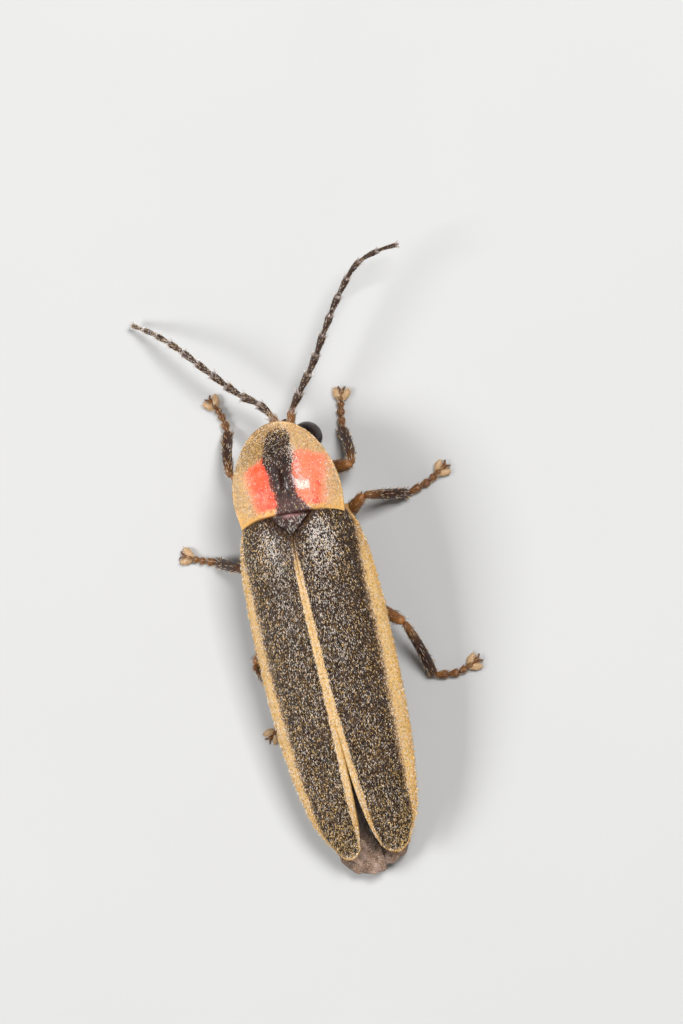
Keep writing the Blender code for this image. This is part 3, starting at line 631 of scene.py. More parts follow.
LEG_HAIRS = (90, 160, 190, 70, 50, 50, 40, 30, 50, 0, 50, 0)
LEG_AMBER = (0.52, 0.23, 0.065)
LEG_AMBER_DEEP = (0.28, 0.09, 0.026)
LEG_DARK = (0.016, 0.005, 0.003)
LEG_RED_BROWN = (0.045, 0.014, 0.007)
PAD_PALE = (0.52, 0.33, 0.17)


def leg_finish():
    """Thin glossy chitin: amber at the thigh's ends, dark red-brown along the shin, pale pads."""
    finish = Finish("leg_chitin", {"IOR": 1.36, "Coat Weight": 0.20, "Coat Roughness": 0.12,
                                   "Subsurface Weight": 0.08, "Subsurface Scale": 0.0002})
    cloud = finish.noise(0.16, 3.0)
    dark = finish.fade(LEG_DARK, LEG_RED_BROWN, cloud, 0.3, 0.8)
    amber = finish.fade(LEG_AMBER, LEG_AMBER_DEEP, cloud, 0.3, 0.8)
    colour = finish.blend(finish.note("amber"), dark, amber)
    colour = finish.blend(finish.note("pad"), colour, PAD_PALE)
    relief = finish.grains(0.04) + 0.5 * finish.noise(0.015, 1.0)
    return finish.made(colour, 0.26 + 0.22 * cloud, relief, 0.007)


def limb_notes(rings, amber, pad):
    """The amber and pad numbers of a limb: amber runs evenly between values given along it."""
    rows, sides = rings.shape[:2]
    along = np.interp(np.linspace(0, 1, rows), np.linspace(0, 1, len(amber)), amber)
    return ring_notes(along, sides), ring_notes(np.full(rows, pad), sides)


leg_chitin = leg_finish()
leg_hair = hair_finish("leg_hairs", (0.10, 0.04, 0.018), (0.86, 0.56, 0.24), (0.93, 0.84, 0.70))
for seed, (name, joints) in enumerate(LEGS.items()):
    draw = np.random.default_rng(70 + seed)
    hip, knee = np.array(joints[:2])
    ankle, instep, toe = (np.array((*spot, FOOT_LEVEL)) for spot in joints[2:])
    side = math.copysign(1, hip[0])
    body_under = float(follow(TRUNK_UNDER, hip[1])) * math.cos(PITCH) - hip[1] * math.sin(PITCH)
    socket = np.array((hip[0] * 0.80, hip[1] - 0.10, body_under + 0.22))
    past_hip, near = hip + (knee - hip) * 0.17, hip + (knee - hip) * 0.19
    hip_path = (socket, (socket + hip) / 2 + (0.04 * side, -0.03, 0), hip, past_hip)
    thigh_path = (near, (near + knee) / 2 + (0, 0, 0.05), knee)
    shin_path = (knee + (0, 0, 0.01), (knee + ankle) / 2 + np.array(SHIN_BOW) * (side, 1, 1), ankle)
    limbs = [(limb(hip_path, HIP_RADII, 20, 36), (0.05, 0.15, 0.45), 0.0),
             (limb(thigh_path, THIGH_RADII, 18, 44), (0.7, 0.40, 0.30, 0.8), 0.0),
             (limb(shin_path, SHIN_RADII, 18, 50), (0.5, 0.05, 0.0, 0.15), 0.0)]
    path = even_path((ankle, instep, toe), FOOT_ROWS)
    for first, last, radius in zip(FOOT_STOPS, FOOT_STOPS[1:], FOOT_RADII):
        piece = path[[max(first - 2, 0), (first + last) // 2, last]]
        limbs.append((limb(piece, radius * FOOT_SWELL, 14, 18), (0.50, 0.35), 0.0))
    heading = unit(toe - instep)
    for way in (-1, 1):
        axes = np.array((heading, (-heading[1] * way, heading[0] * way, 0.0), (0.0, 0.0, 1.0)))
        pad, hook = path[FORK_STOP] + PAD @ axes, path[HOOK_STOP] + HOOK @ axes
        limbs.append((limb(pad, PAD_RADII, 14, 22, flat=0.72), (0.7, 0.7), 1.0))
        limbs.append((limb(hook, HOOK_RADII, 8, 16), (0.4, 0.2), 0.0))
    amber, pad = (np.concatenate(notes) for notes in zip(*(limb_notes(*piece) for piece in limbs)))
    add_piece(name + "_chitin", join([tube(rings + BODY_AT) for rings, *shares in limbs]), leg_chitin,
              (name,), {"amber": amber, "pad": pad})
    coats = []
    for order, (rings, *shares) in enumerate(limbs):
        count, on_foot = LEG_HAIRS[order], order > 2
        middle = rings.mean(axis=1) + BODY_AT
        ahead = unit(np.gradient(middle, axis=0))
        row, turn = draw.integers(1, len(rings) - 1, count), draw.integers(0, rings.shape[1], count)
        reach = rings[row, turn] + BODY_AT - middle[row]
        spot = middle[row] + reach * 0.95
        near_floor = spot[:, 2] < 0.30
        aims = []
        for spread, scatter in ((0.75, 0.2), (0.30, 0.1)):
            aim = ahead[row] + spread * unit(reach) + draw.normal(0, scatter, (count, 3))
            aim[near_floor, 2] = np.maximum(aim[near_floor, 2], 0)
            aims.append(aim)
        sizes = draw.uniform(0.07, 0.14, count) * (1.15 if order in (1, 2) else 0.8)
        widths = np.full(count, 0.011 if on_foot else 0.016)
        tone_shares = (0.15, 0.35, 0.50) if on_foot else (0.40, 0.35, 0.25)
        tone = draw.choice((0.15, 0.52, 0.92), count, p=tone_shares)
        u, v = (order + row / len(rings)) / len(limbs), turn / rings.shape[1]
        coat = (spot, *aims, sizes, widths, u, v, tone)
        coats.append([values[spot[:, 2] > 0.05] for values in coat])
    add_hairs(name + "_hairs", *(np.concatenate(values) for values in zip(*coats)), leg_hair, "leg")

# Hind wings. Thin smoky membrane folded flat under the covers; the crumpled tips show past them,
# the left one lying over the right.
WING_ROOT = -2.15
WING_TOP = ((-2.15, 2.10), (0.0, 2.20), (1.0, 2.20), (2.0, 2.16), (3.0, 2.06), (4.0, 1.88),
            (5.0, 1.58), (5.6, 1.38), (6.2, 1.22), (6.5, 1.14))
WING_DROP = 0.20
WING_INNER = {"left": ((-2.15, 0.10), (4.4, 0.06), (5.2, 0.02), (5.8, -0.14), (6.46, -0.16)),
              "right": ((-2.15, 0.10), (4.4, 0.06), (5.2, 0.02), (5.8, 0.02), (6.34, 0.10))}
WING_OUTER = {"left": ((-2.15, 0.66), (-1.2, 0.80), (3.0, 0.80), (4.4, 0.84), (5.4, 0.96), (6.1, 1.07),
                       (6.46, 1.05)),
              "right": ((-2.15, 0.66), (-1.2, 0.80), (3.0, 0.80), (4.4, 0.82), (5.4, 0.85), (6.0, 0.86),
                        (6.34, 0.84))}
WING_TIP = {"left": 6.46, "right": 6.34}
WING_TIP_LINE = {"left": ((0.0, 6.44), (0.25, 6.47), (0.5, 6.46), (0.8, 6.34), (1.0, 6.08)),
                 "right": ((0.0, 6.26), (0.3, 6.30), (0.6, 6.20), (0.85, 6.10), (1.0, 5.90))}
WING_LIFT = {"left": 0.05, "right": -0.06}
WING_FILM = 0.035
WING_VEINS = (0.18, 0.46, 0.76)
WING_SMOKE = (0.15, 0.105, 0.075)
WING_SMOKE_DEEP = (0.075, 0.052, 0.040)
WING_TAUPE = (0.24, 0.145, 0.090)
WING_UMBER = (0.13, 0.070, 0.045)
WING_FOLD_PAINTED_SHADE = (0.060, 0.036, 0.026)
WING_FOLD_PAINTED_HIGHLIGHT = (0.46, 0.32, 0.26)
WING_GLINT_SPECK = (0.66, 0.50, 0.40)
WING_VEIN = (0.06, 0.035, 0.025)
RIM_BULGE = 0.45


def plate_grid(rows, columns):
    """Shares from 0 to 1 down the rows and along the columns of a plate."""
    return np.meshgrid(np.linspace(0, 1, rows), np.linspace(0, 1, columns), indexing="ij")


def add_plate(name, top, under, notes, finish, solid):
    """A closed plate of the animal from two matching grids in the level frame, with a round rim.

    Rim = middle of the two edges + bulge times their distance, away from the plate. The notes of
    the grid are repeated for its underside and its rim.
    """
    rows, columns = top.shape[:2]
    count = rows * columns
    index = np.arange(count).reshape(rows, columns)
    edge = np.concatenate([index[0, :-1], index[:-1, -1], index[-1, :0:-1], index[:0:-1, 0]])
    inner = index[np.clip(edge // columns, 1, rows - 2), np.clip(edge % columns, 1, columns - 2)]
    top, under = top.reshape(-1, 3), under.reshape(-1, 3)
    away = unit(top[edge] - top[inner])
    for smoothing in range(4):
        away = unit(away + np.roll(away, 1, axis=0) + np.roll(away, -1, axis=0))
    gap = np.linalg.norm(top[edge] - under[edge], axis=1, keepdims=True)
    rim = (top[edge] + under[edge]) / 2 + away * gap * RIM_BULGE
    number = 2 * count + np.arange(len(edge))
    ahead = np.roll(np.arange(len(edge)), -1)
    upper = np.stack([edge[ahead], number[ahead], number, edge], axis=1)
    lower = np.stack([number[ahead], edge[ahead] + count, edge + count, number], axis=1)
    faces = np.concatenate([quads_of(index), quads_of(index + count)[:, ::-1], upper, lower])
    spread = {note: np.concatenate([np.tile(values.ravel(), 2), values.ravel()[edge]])
              for note, values in notes.items()}
    points = on_body(np.concatenate([top, under, rim]))
    add_piece(name, (points, faces.tolist()), finish, (solid,), spread)


def wing_finish():
    """Smoky membrane, dark where it is folded double, taupe and wrinkled at the tip, with painted shade in
    the crumples' hollows and painted highlight on their ridges.
    """
    finish = Finish("wing_membrane", {"IOR": 1.45, "Coat Weight": 0.25, "Coat Roughness": 0.25})
    cloud, fold = finish.noise(0.14, 4.0), finish.note("fold")
    tip = finish.fade(WING_TAUPE, WING_UMBER, cloud, 0.42, 0.62, 0.85)
    # Painted shade in the low hollows of the crumpled tip, painted highlight on its high ridges.
    tip = finish.fade(tip, WING_FOLD_PAINTED_SHADE, fold, 0.45, 0.0, 0.7)
    tip = finish.fade(tip, WING_FOLD_PAINTED_HIGHLIGHT, fold, 0.60, 0.95, 0.6)
    # Pale specks of the tip's tiny hairs, painted as glints.
    tip = finish.fade(tip, WING_GLINT_SPECK, finish.noise(0.030, 2.0), 0.54, 0.63, 0.6)
    smoke = finish.fade(WING_SMOKE, WING_SMOKE_DEEP, cloud, 0.35, 0.7)
    colour = finish.blend(finish.note("bare"), smoke, tip)
    colour = finish.blend(finish.note("vein") * 0.6, colour, WING_VEIN)
    relief = finish.noise(0.06, 4.0) + 0.5 * finish.grains(0.03)
    return finish.made(colour, 0.32 + 0.25 * cloud, relief, 0.022)


wing_film = wing_finish()
for side, hand in ((1, "left"), (-1, "right")):
    v, u = plate_grid(rows=150, columns=56)
    stretch = WING_ROOT + (WING_TIP[hand] - WING_ROOT) * v
    inner, outer = follow(WING_INNER[hand], stretch), follow(WING_OUTER[hand], stretch)
    ragged = 0.012 * np.sin(13 * u + side) + 0.008 * np.sin(31 * u + 2) + 0.004
    y = stretch - (WING_TIP[hand] - follow(WING_TIP_LINE[hand], u) + ragged) * v ** 3
    x = inner + (outer - inner) * u
    bare = ease(4.9, 5.6, stretch)
    vein = sum(bell(u - place, 0.02) for place in WING_VEINS) * (1 - 0.7 * bare)
    crumple = np.sin(5.2 * x + 2.1 * y) * 0.030 + np.sin(11 * x - 7 * y + side) * 0.022
    crumple = crumple + np.sin(19 * x + 15 * y) * 0.014 + np.sin(37 * x - 21 * y) * 0.006
    z = follow(WING_TOP, y) - WING_DROP * x ** 2 - 0.03
    z = z + (WING_LIFT[hand] + crumple) * bare + 0.02 * vein
    top = np.stack([side * x, y, z], axis=-1)
    add_plate("hind_wing_" + hand, top, top - (0, 0, WING_FILM),
              {"bare": bare, "vein": vein, "fold": 0.5 + crumple / 0.12},
              wing_film, "hindwing_" + hand)

# Wing covers. Two long arched plates of leathery dark brown chitin, finely grained, with a pale
# bead along the seam and a broad pale flange along the outer edge. A close coat of short
# silver and gold hairs lies towards the tail.
COVER_HALF_WIDTH = ((-3.66, 1.44), (-3.40, 1.55), (-2.90, 1.70), (-1.50, 1.84), (0.0, 1.87), (1.40, 1.84),
                    (2.60, 1.78), (3.90, 1.62), (5.00, 1.36), (5.62, 1.02))
COVER_SEAM = ((-3.40, 0.015), (2.2, 0.018), (3.2, 0.04), (4.20, 0.09), (5.20, 0.20), (5.62, 0.30))
COVER_CREST = ((-4.05, 2.42), (-3.70, 2.52), (-3.30, 2.68), (-2.60, 2.79), (-0.40, 2.83), (1.00, 2.77),
               (2.40, 2.63), (3.80, 2.42), (5.00, 2.10), (5.50, 1.88), (5.92, 1.62))
COVER_MARGIN = ((-3.40, 1.72), (0.0, 1.78), (2.50, 1.79), (3.90, 1.74), (5.00, 1.60), (5.50, 1.54),
                (5.92, 1.53))
COVER_DOME = 2.3
COVER_PEAK = 0.45
COVER_SHOULDER, COVER_BASE, COVER_INNER_BASE = -3.66, -4.05, -3.40
COVER_TUCK, COVER_TUCK_REACH = 0.42, 0.60
COVER_TIP, COVER_TIP_CORNER = 5.92, 5.62
FLANGE_WIDTH = ((-3.2, 0.10), (-2.6, 0.20), (-1.5, 0.28), (0.0, 0.30), (3.3, 0.29), (4.2, 0.22), (5.0, 0.12),
                (5.6, 0.07))
BEAD_WIDTH = ((-3.3, 0.02), (-2.7, 0.06), (-1.8, 0.09), (0.5, 0.115), (2.5, 0.15), (4.2, 0.17), (5.0, 0.12),
              (5.6, 0.06))
COVER_WALL = 0.09
COVER_ROLL = 0.17
COVER_RIBS = ((0.30, 0.018), (0.52, 0.014), (0.72, 0.010))
COVER_BLACK = (0.013, 0.0065, 0.0035)
COVER_SOOT = (0.032, 0.018, 0.012)
COVER_BROWN = (0.085, 0.039, 0.017)
COVER_UMBER = (0.20, 0.105, 0.045)
COVER_PAINTED_GLINT_GOLD = (0.48, 0.25, 0.09)
COVER_PAINTED_GLINT_GREY = (0.42, 0.35, 0.33)
COVER_PALE = (0.82, 0.56, 0.28)
COVER_GOLD = (0.86, 0.55, 0.16)
COVER_FLECK = (0.42, 0.22, 0.06)
COVER_CREAM = (0.58, 0.39, 0.25)
COVER_TAN = (0.34, 0.20, 0.10)
COVER_AMBER = (0.55, 0.27, 0.04)
COVER_HAIRS, FRINGE_HAIRS = 16500, 420
SHOULDER_SHINE = {"left": 0.45, "right": 1.0}


def cover_lines(u, v):
    """The seam and the outer edge beside a place of the cover, and the tip behind it."""
    stretch = COVER_SHOULDER + (COVER_TIP_CORNER - COVER_SHOULDER) * v
    tip = COVER_TIP_CORNER + (COVER_TIP - COVER_TIP_CORNER) * (1 - np.abs(2 * u - 1) ** 2.2)
    return follow(COVER_SEAM, stretch), follow(COVER_HALF_WIDTH, stretch), tip


def cover_place(u, v):
    """A point of the left wing cover in the level frame, u from seam to edge, v from base to tip.

    Height = margin + (crest - margin) (1 - (x / half width) ^ dome), with a raised bead at the
    seam, a shallow gutter inside the flange and three faint ribs along the disc. The base turns
    down in a quarter round and tucks in under the shield.
    """
    seam, outer, tip = cover_lines(u, v)
    inward = COVER_INNER_BASE + (COVER_BASE - COVER_INNER_BASE) * u / COVER_PEAK
    past = np.clip((u - COVER_PEAK) / (1 - COVER_PEAK), 0, 1)
    base = np.where(u < COVER_PEAK, inward, COVER_BASE + (COVER_SHOULDER - COVER_BASE) * past ** 3)
    y = base + (tip - base) * v
    x = seam + (outer - seam) * u
    rim = follow(COVER_MARGIN, y)
    z = rim + (follow(COVER_CREST, y) - rim) * (1 - (x / outer) ** COVER_DOME)
    flange = follow(FLANGE_WIDTH, y)
    z = z - 0.035 * bell(outer - x - flange * 1.25, 0.35 * flange + 0.02)
    z = z + 0.020 * bell(x - seam - 0.05, 0.05)
    inside = 1 - np.clip((y - base) / COVER_TUCK_REACH, 0, 1)
    z = z - COVER_TUCK * (1 - u ** 6) * (1 - np.sqrt(1 - 0.96 * inside ** 2))
    for rib, height in COVER_RIBS:
        z = z + height * bell(u - rib - 0.02 * v, 0.022) * ease(0.05, 0.2, v) * ease(0.9, 0.7, v)
    return np.stack([x, y, z], axis=-1)


def cover_marks(u, v):
    """How pale and how amber the cover is: pale at flange, bead and tip, amber at tip and edge."""
    seam, outer, tip = cover_lines(u, v)
    x, y, z = np.moveaxis(cover_place(u, v), -1, 0)
    wobble = 0.012 * np.sin(9 * y) + 0.008 * np.sin(23 * y + 1)
    flange = ease(1.55, 0.55, (outer - x + wobble) / follow(FLANGE_WIDTH, y))
    bead = ease(1.25, 0.75, (x - seam + wobble * 0.5) / follow(BEAD_WIDTH, y))
    end = ease(0.14, 0.04, tip - y)
    pale = np.maximum(flange, bead * (0.35 + 0.65 * ease(-3.1, -2.4, y)))
    amber = np.maximum(0.75 * ease(3.9, 5.3, y), 0.6 * ease(0.11, 0.02, outer - x))
    return np.maximum(pale, end), np.maximum(amber, end)


def cover_finish():
    """Grained chitin, near black on the disc with painted glints in tiny gold and grey specks, and straw at
    the flange and the bead.
    """
    finish = Finish("cover_chitin", {"IOR": 1.25, "Coat Roughness": 0.16})
    pale, speck = finish.note("pale"), finish.noise(0.045, 2.0)
    dark = finish.fade(COVER_BLACK, COVER_SOOT, finish.noise(0.5, 3.0), 0.3, 0.75)
    dark = finish.fade(dark, COVER_BROWN, speck, 0.5, 0.72, 0.6)
    # Painted glints: tiny gold and grey specks of highlight scattered over the dark disc.
    painted_glint = finish.fade(COVER_PAINTED_GLINT_GOLD, COVER_PAINTED_GLINT_GREY, finish.noise(0.11, 1.0), 0.42, 0.58)
    dark = finish.fade(dark, painted_glint, finish.noise(0.030, 1.0), 0.57, 0.66, 0.55)
    dark = finish.fade(dark, COVER_UMBER, pale, 0.0, 0.5, 0.7)
    straw = finish.fade(COVER_PALE, COVER_GOLD, speck, 0.35, 0.7)
    straw = finish.fade(straw, COVER_FLECK, finish.noise(0.055, 2.0), 0.50, 0.62, 0.6)
    straw = finish.fade(straw, COVER_CREAM, pale, 0.95, 0.45)
    straw = finish.blend(finish.note("base"), straw, COVER_TAN)
    straw = finish.blend(finish.note("amber"), straw, COVER_AMBER)
    colour = finish.fade(dark, straw, pale + 2.0 * (speck - 0.5), 0.25, 0.75)
    finish.drive("Coat Weight", 0.11 - 0.05 * pale)
    relief = 1 - finish.grains(0.060) + 0.35 * speck + 1.1 * finish.noise(0.17, 2.0, squeeze=3.4)
    return finish.made(colour, 0.18 + 0.20 * speck + 0.20 * pale, relief, 0.024)


def lit_tone(draw, bright, gilt, dull):
    """The tone of each hair: gold or silver where it is bright, each a little off its own."""
    tone = np.where(bright, np.where(gilt, 0.52, 0.95), dull)
    return np.clip(tone + draw.normal(0, 0.05, len(tone)), 0, 1)


cover_chitin = cover_finish()
cover_hair = hair_finish("cover_hairs", (0.034, 0.018, 0.009), (0.99, 0.66, 0.24), (0.98, 0.90, 0.82))
for seed, (side, hand) in enumerate(((1, "left"), (-1, "right"))):
    flip = np.array((side, 1, 1))
    v, u = plate_grid(rows=260, columns=90)
    top = cover_place(u, v)
    normal = unit(np.cross(np.gradient(top, axis=1), np.gradient(top, axis=0)))
    wall = COVER_WALL + COVER_ROLL * u ** 14 + 0.03 * (1 - u) ** 10
    wall = wall * (0.45 + 0.55 * ease(0.0, 1.1, COVER_TIP - top[..., 1]))
    wall = wall * (0.40 + 0.60 * ease(0.0, 0.8, top[..., 1] - top[:1, :, 1]))
    pale, amber = cover_marks(u, v)
    add_plate("wing_cover_" + hand, top * flip, (top - normal * wall[..., None]) * flip,
              {"pale": pale, "amber": amber, "base": ease(-1.9, -3.3, top[..., 1])},
              cover_chitin, "elytron_" + hand)
    draw = np.random.default_rng(90 + seed)
    u = draw.uniform(0.005, 0.985, COVER_HAIRS - FRINGE_HAIRS)
    u = np.concatenate([u, draw.uniform(0.975, 1.0, FRINGE_HAIRS)])
    v = draw.uniform(0.03, 0.996, COVER_HAIRS)
    spot = cover_place(u, v)
    y = spot[:, 1]
    across, along, normal = skin_axes(cover_place, u, v)
    fringe = np.arange(COVER_HAIRS) >= COVER_HAIRS - FRINGE_HAIRS
    splay = draw.normal(0, 0.45, COVER_HAIRS) + 0.25 * (u - 0.4) + 1.1 * fringe
    lean = along + across * splay[:, None]
    pale, amber = cover_marks(u, v)
    lift = normal * (draw.uniform(0.30, 0.65, COVER_HAIRS) + 0.25 * pale)[:, None]
    # Painted highlight: more bright silver hairs, a little stouter, where the shoulders shine, most on the
    # right cover, and a painted sheen of bright silver hairs along the inner half of each cover.
    shine = SHOULDER_SHINE[hand] * bell(u - 0.44, 0.20) * ease(-1.9, -2.9, y)
    sheen = bell(u - 0.30, 0.16) * ease(2.5, -1.5, y)
    calm = bell(u - 0.80, 0.07) * ease(2.0, -0.5, y) * (hand == "right")
    calm = np.maximum(calm, ease(0.07, 0.02, v)) * (1 - pale)
    bright_share = (0.32 + 0.42 * pale + 0.70 * shine + 0.12 * sheen) * (1 - 0.6 * calm)
    bright = draw.uniform(0, 1, COVER_HAIRS) < bright_share
    gold_share = 0.46 + 0.28 * ease(0.5, 0.9, u) - 0.22 * pale + 0.20 * ease(3.0, 5.6, y)
    gilt = draw.uniform(0, 1, COVER_HAIRS) < gold_share - 0.42 * np.maximum(shine, sheen)
    dull = np.where(draw.uniform(0, 1, COVER_HAIRS) < 0.22, 0.37, 0.05 + 0.33 * pale)
    tone = lit_tone(draw, bright, gilt, np.where(fringe, 0.50, dull))
    sizes = draw.uniform(0.036, 0.066, COVER_HAIRS) + fringe * draw.uniform(0.03, 0.08, COVER_HAIRS)
    stout = 0.015 + 0.026 * draw.uniform(0, 1, COVER_HAIRS) ** 2 + 0.008 * shine
    add_hairs("cover_hairs_" + hand, on_body((spot - normal * 0.006) * flip),
              on_body((lean + lift) * flip) - BODY_AT, on_body((lean + lift * 0.15) * flip) - BODY_AT,
              sizes, np.where(bright, stout, 0.012), u, v, tone, cover_hair, "cover")

# Little shield. The small three-cornered plate between the bases of the covers, dark red-brown,
# with a pinkish fold of soft skin in front of it that goes in under the shield.
SCUTELLUM_SPAN = (-4.06, -3.33)
SCUTELLUM_HALF = ((-4.06, 0.62), (-3.86, 0.58), (-3.66, 0.36), (-3.48, 0.17), (-3.33, 0.05))
SCUTELLUM_LEVEL = ((-4.06, 2.26), (-3.86, 2.42), (-3.60, 2.55), (-3.33, 2.53))
SCUTELLUM_WALL = 0.14
SCUTELLUM_HAIRS = 220
SKIN_PINK = (0.30, 0.145, 0.14)
SKIN_DARK = (0.11, 0.035, 0.030)
SCUTELLUM_RED = (0.030, 0.010, 0.007)
SCUTELLUM_BROWN = (0.11, 0.036, 0.022)


def scutellum_place(u, v):
    """A point of the little shield: level of the length, falling to the sides by the square."""
    y = SCUTELLUM_SPAN[0] + (SCUTELLUM_SPAN[1] - SCUTELLUM_SPAN[0]) * v
    x = (2 * u - 1) * follow(SCUTELLUM_HALF, y)
    fold = 0.030 * np.sin(26 * y + 5 * x) * ease(-3.74, -3.84, y)
    return np.stack([x, y, follow(SCUTELLUM_LEVEL, y) - 0.45 * x ** 2 + fold], axis=-1)


def scutellum_finish():
    """Red-brown chitin behind, wrinkled pinkish skin in front."""
    finish = Finish("scutellum_chitin", {"IOR": 1.48})
    cloud = finish.noise(0.12, 3.0)
    plate = finish.fade(SCUTELLUM_RED, SCUTELLUM_BROWN, cloud, 0.45, 0.75)
    skin = finish.fade(SKIN_PINK, SKIN_DARK, cloud, 0.35, 0.7)
    colour = finish.blend(finish.note("skin"), plate, skin)
    return finish.made(colour, 0.30 + 0.25 * cloud, finish.noise(0.05, 3.0), 0.014)


v, u = plate_grid(rows=70, columns=60)
top = scutellum_place(u, v)
skin = ease(-3.70, -3.80, top[..., 1]) * np.exp(-((top[..., 0] + 0.06) / 0.26) ** 4)
add_plate("scutellum_plate", top, top - (0, 0, SCUTELLUM_WALL), {"skin": skin}, scutellum_finish(),
          "scutellum")
draw = np.random.default_rng(110)
u, v = draw.uniform(0.05, 0.95, SCUTELLUM_HAIRS), draw.uniform(0.15, 0.95, SCUTELLUM_HAIRS)
lean = np.stack([draw.normal(0, 0.5, SCUTELLUM_HAIRS), np.ones(SCUTELLUM_HAIRS),
                 draw.uniform(0.2, 0.8, SCUTELLUM_HAIRS)], axis=1)
add_hairs("scutellum_hairs", on_body(scutellum_place(u, v)), lean, lean * (1, 1, 0.3),
          draw.uniform(0.05, 0.09, SCUTELLUM_HAIRS), 0.020, u, v,
          draw.choice((0.1, 0.9), SCUTELLUM_HAIRS), cover_hair, "cuticle")

# Shield. The plate that roofs the head: a flat straw rim round a raised middle with a black band
# down its length, a slit-like groove in it, and a coral patch on each side of the band.
SHIELD_TURN, SHIELD_SIDE = 0.035, 0.05
SHIELD_HALF_WIDTH = ((-5.81, 0.84), (-5.52, 1.07), (-5.03, 1.34), (-4.37, 1.49), (-3.55, 1.43))
SHIELD_CREST = ((-6.17, 1.19), (-5.76, 1.60), (-5.30, 1.99), (-4.65, 2.38), (-3.90, 2.54))
SHIELD_MARGIN = ((-6.17, 1.17), (-5.52, 1.34), (-5.03, 1.56), (-4.37, 1.75), (-3.55, 1.90))
SHIELD_HIND_MIDDLE, SHIELD_HIND_CORNER = -3.93, -3.58
SHIELD_FRONT_CORNER, SHIELD_APEX = -5.81, -6.17
SHIELD_WALL = 0.15
BAND_LEFT = ((-6.1, 0.16), (-5.80, 0.38), (-5.4, 0.48), (-4.95, 0.36), (-4.5, 0.31), (-4.1, 0.26),
             (-3.9, 0.36))
BAND_RIGHT = ((-6.1, 0.12), (-5.80, 0.25), (-5.4, 0.35), (-4.95, 0.33), (-4.5, 0.36), (-4.1, 0.46),
              (-3.9, 0.66))
PATCH_OUTER_LEFT = ((-5.35, 0.62), (-5.2, 0.88), (-4.7, 0.93), (-4.05, 0.80))
PATCH_OUTER_RIGHT = ((-5.40, 0.80), (-5.15, 1.10), (-4.6, 1.06), (-4.05, 0.94))
SHIELD_HAIRS, HIGHLIGHT_STREAK_HAIRS, RIM_HAIRS = 11000, 150, 360
SHIELD_STRAW = (0.70, 0.40, 0.18)
SHIELD_CREAM = (0.78, 0.55, 0.29)
SHIELD_FLECK = (0.30, 0.16, 0.06)
SHIELD_PAINTED_SHADE_TAN = (0.24, 0.115, 0.030)
SHIELD_CORNER_GOLD = (0.80, 0.44, 0.13)
SHIELD_RED = (0.90, 0.055, 0.020)
SHIELD_CORAL = (0.94, 0.095, 0.028)
SHIELD_SALMON_PAINTED_LIGHT = (0.95, 0.26, 0.13)
SHIELD_BLUSH = (0.97, 0.36, 0.25)
SHIELD_BLOT = (0.78, 0.028, 0.014)
SHIELD_FLESH = (0.92, 0.45, 0.25)
SHIELD_BLACK = (0.012, 0.005, 0.004)
SHIELD_RED_BLACK = (0.060, 0.018, 0.014)
SHIELD_CRIMSON = (0.17, 0.014, 0.010)
SHIELD_MAUVE = (0.15, 0.065, 0.06)


def shield_inset(u, v):
    """How far a place lies inside the outline of the shield, the hind edge left out."""
    return np.minimum((1 - np.abs(2 * u - 1)) * 1.4, (1 - v) * 2.2)


def shield_place(u, v):
    """A point of the shield in the level frame, u from right to left, v from hind to front edge.

    Height = rim + (crest - rim) (1 - |across| ^ 2.4), with a thin raised edge, fine grooves
    across the rim and a sunk slit in the middle.
    """
    across = 2 * u - 1
    aside = np.abs(across)
    hind = SHIELD_HIND_MIDDLE + (SHIELD_HIND_CORNER - SHIELD_HIND_MIDDLE) * aside ** 3
    front = SHIELD_FRONT_CORNER + (SHIELD_APEX - SHIELD_FRONT_CORNER) * (1 - aside ** 2.2)
    reach = SHIELD_HIND_CORNER + (SHIELD_FRONT_CORNER - SHIELD_HIND_CORNER) * v
    y = hind + (front - hind) * v
    x = across * follow(SHIELD_HALF_WIDTH, reach) + SHIELD_SIDE + SHIELD_TURN * (SHIELD_HIND_MIDDLE - y)
    rim = follow(SHIELD_MARGIN, y)
    z = rim + (follow(SHIELD_CREST, y) - rim) * (1 - aside ** 2.4) * (1 - v ** 12)
    inset = shield_inset(u, v)
    z = z + 0.030 * bell(inset, 0.045) - 0.030 * bell(inset - 0.40, 0.14)
    slit = bell(x - 0.01, 0.030) * ease(-5.10, -4.98, y) * ease(-4.50, -4.62, y)
    lips = bell(np.abs(x - 0.01) - 0.09, 0.05) * ease(-5.20, -4.98, y) * ease(-4.35, -4.55, y)
    flank = bell(np.abs(x - 0.02) - 0.27, 0.16) * ease(-5.75, -5.30, y) * ease(-4.25, -5.30, y)
    rays = np.sin(64 * np.arctan2(y + 4.4, x)) * bell(inset - 0.20, 0.15)
    z = z + 0.11 * flank - 0.09 * slit + 0.030 * lips + 0.007 * rays
    return np.stack([x, y, z], axis=-1)


def by_side(x, y, left, right):
    """The width at a place on one of two outlines, for the left side of the band or the right."""
    return np.where(x > 0, follow(left, y), follow(right, y))


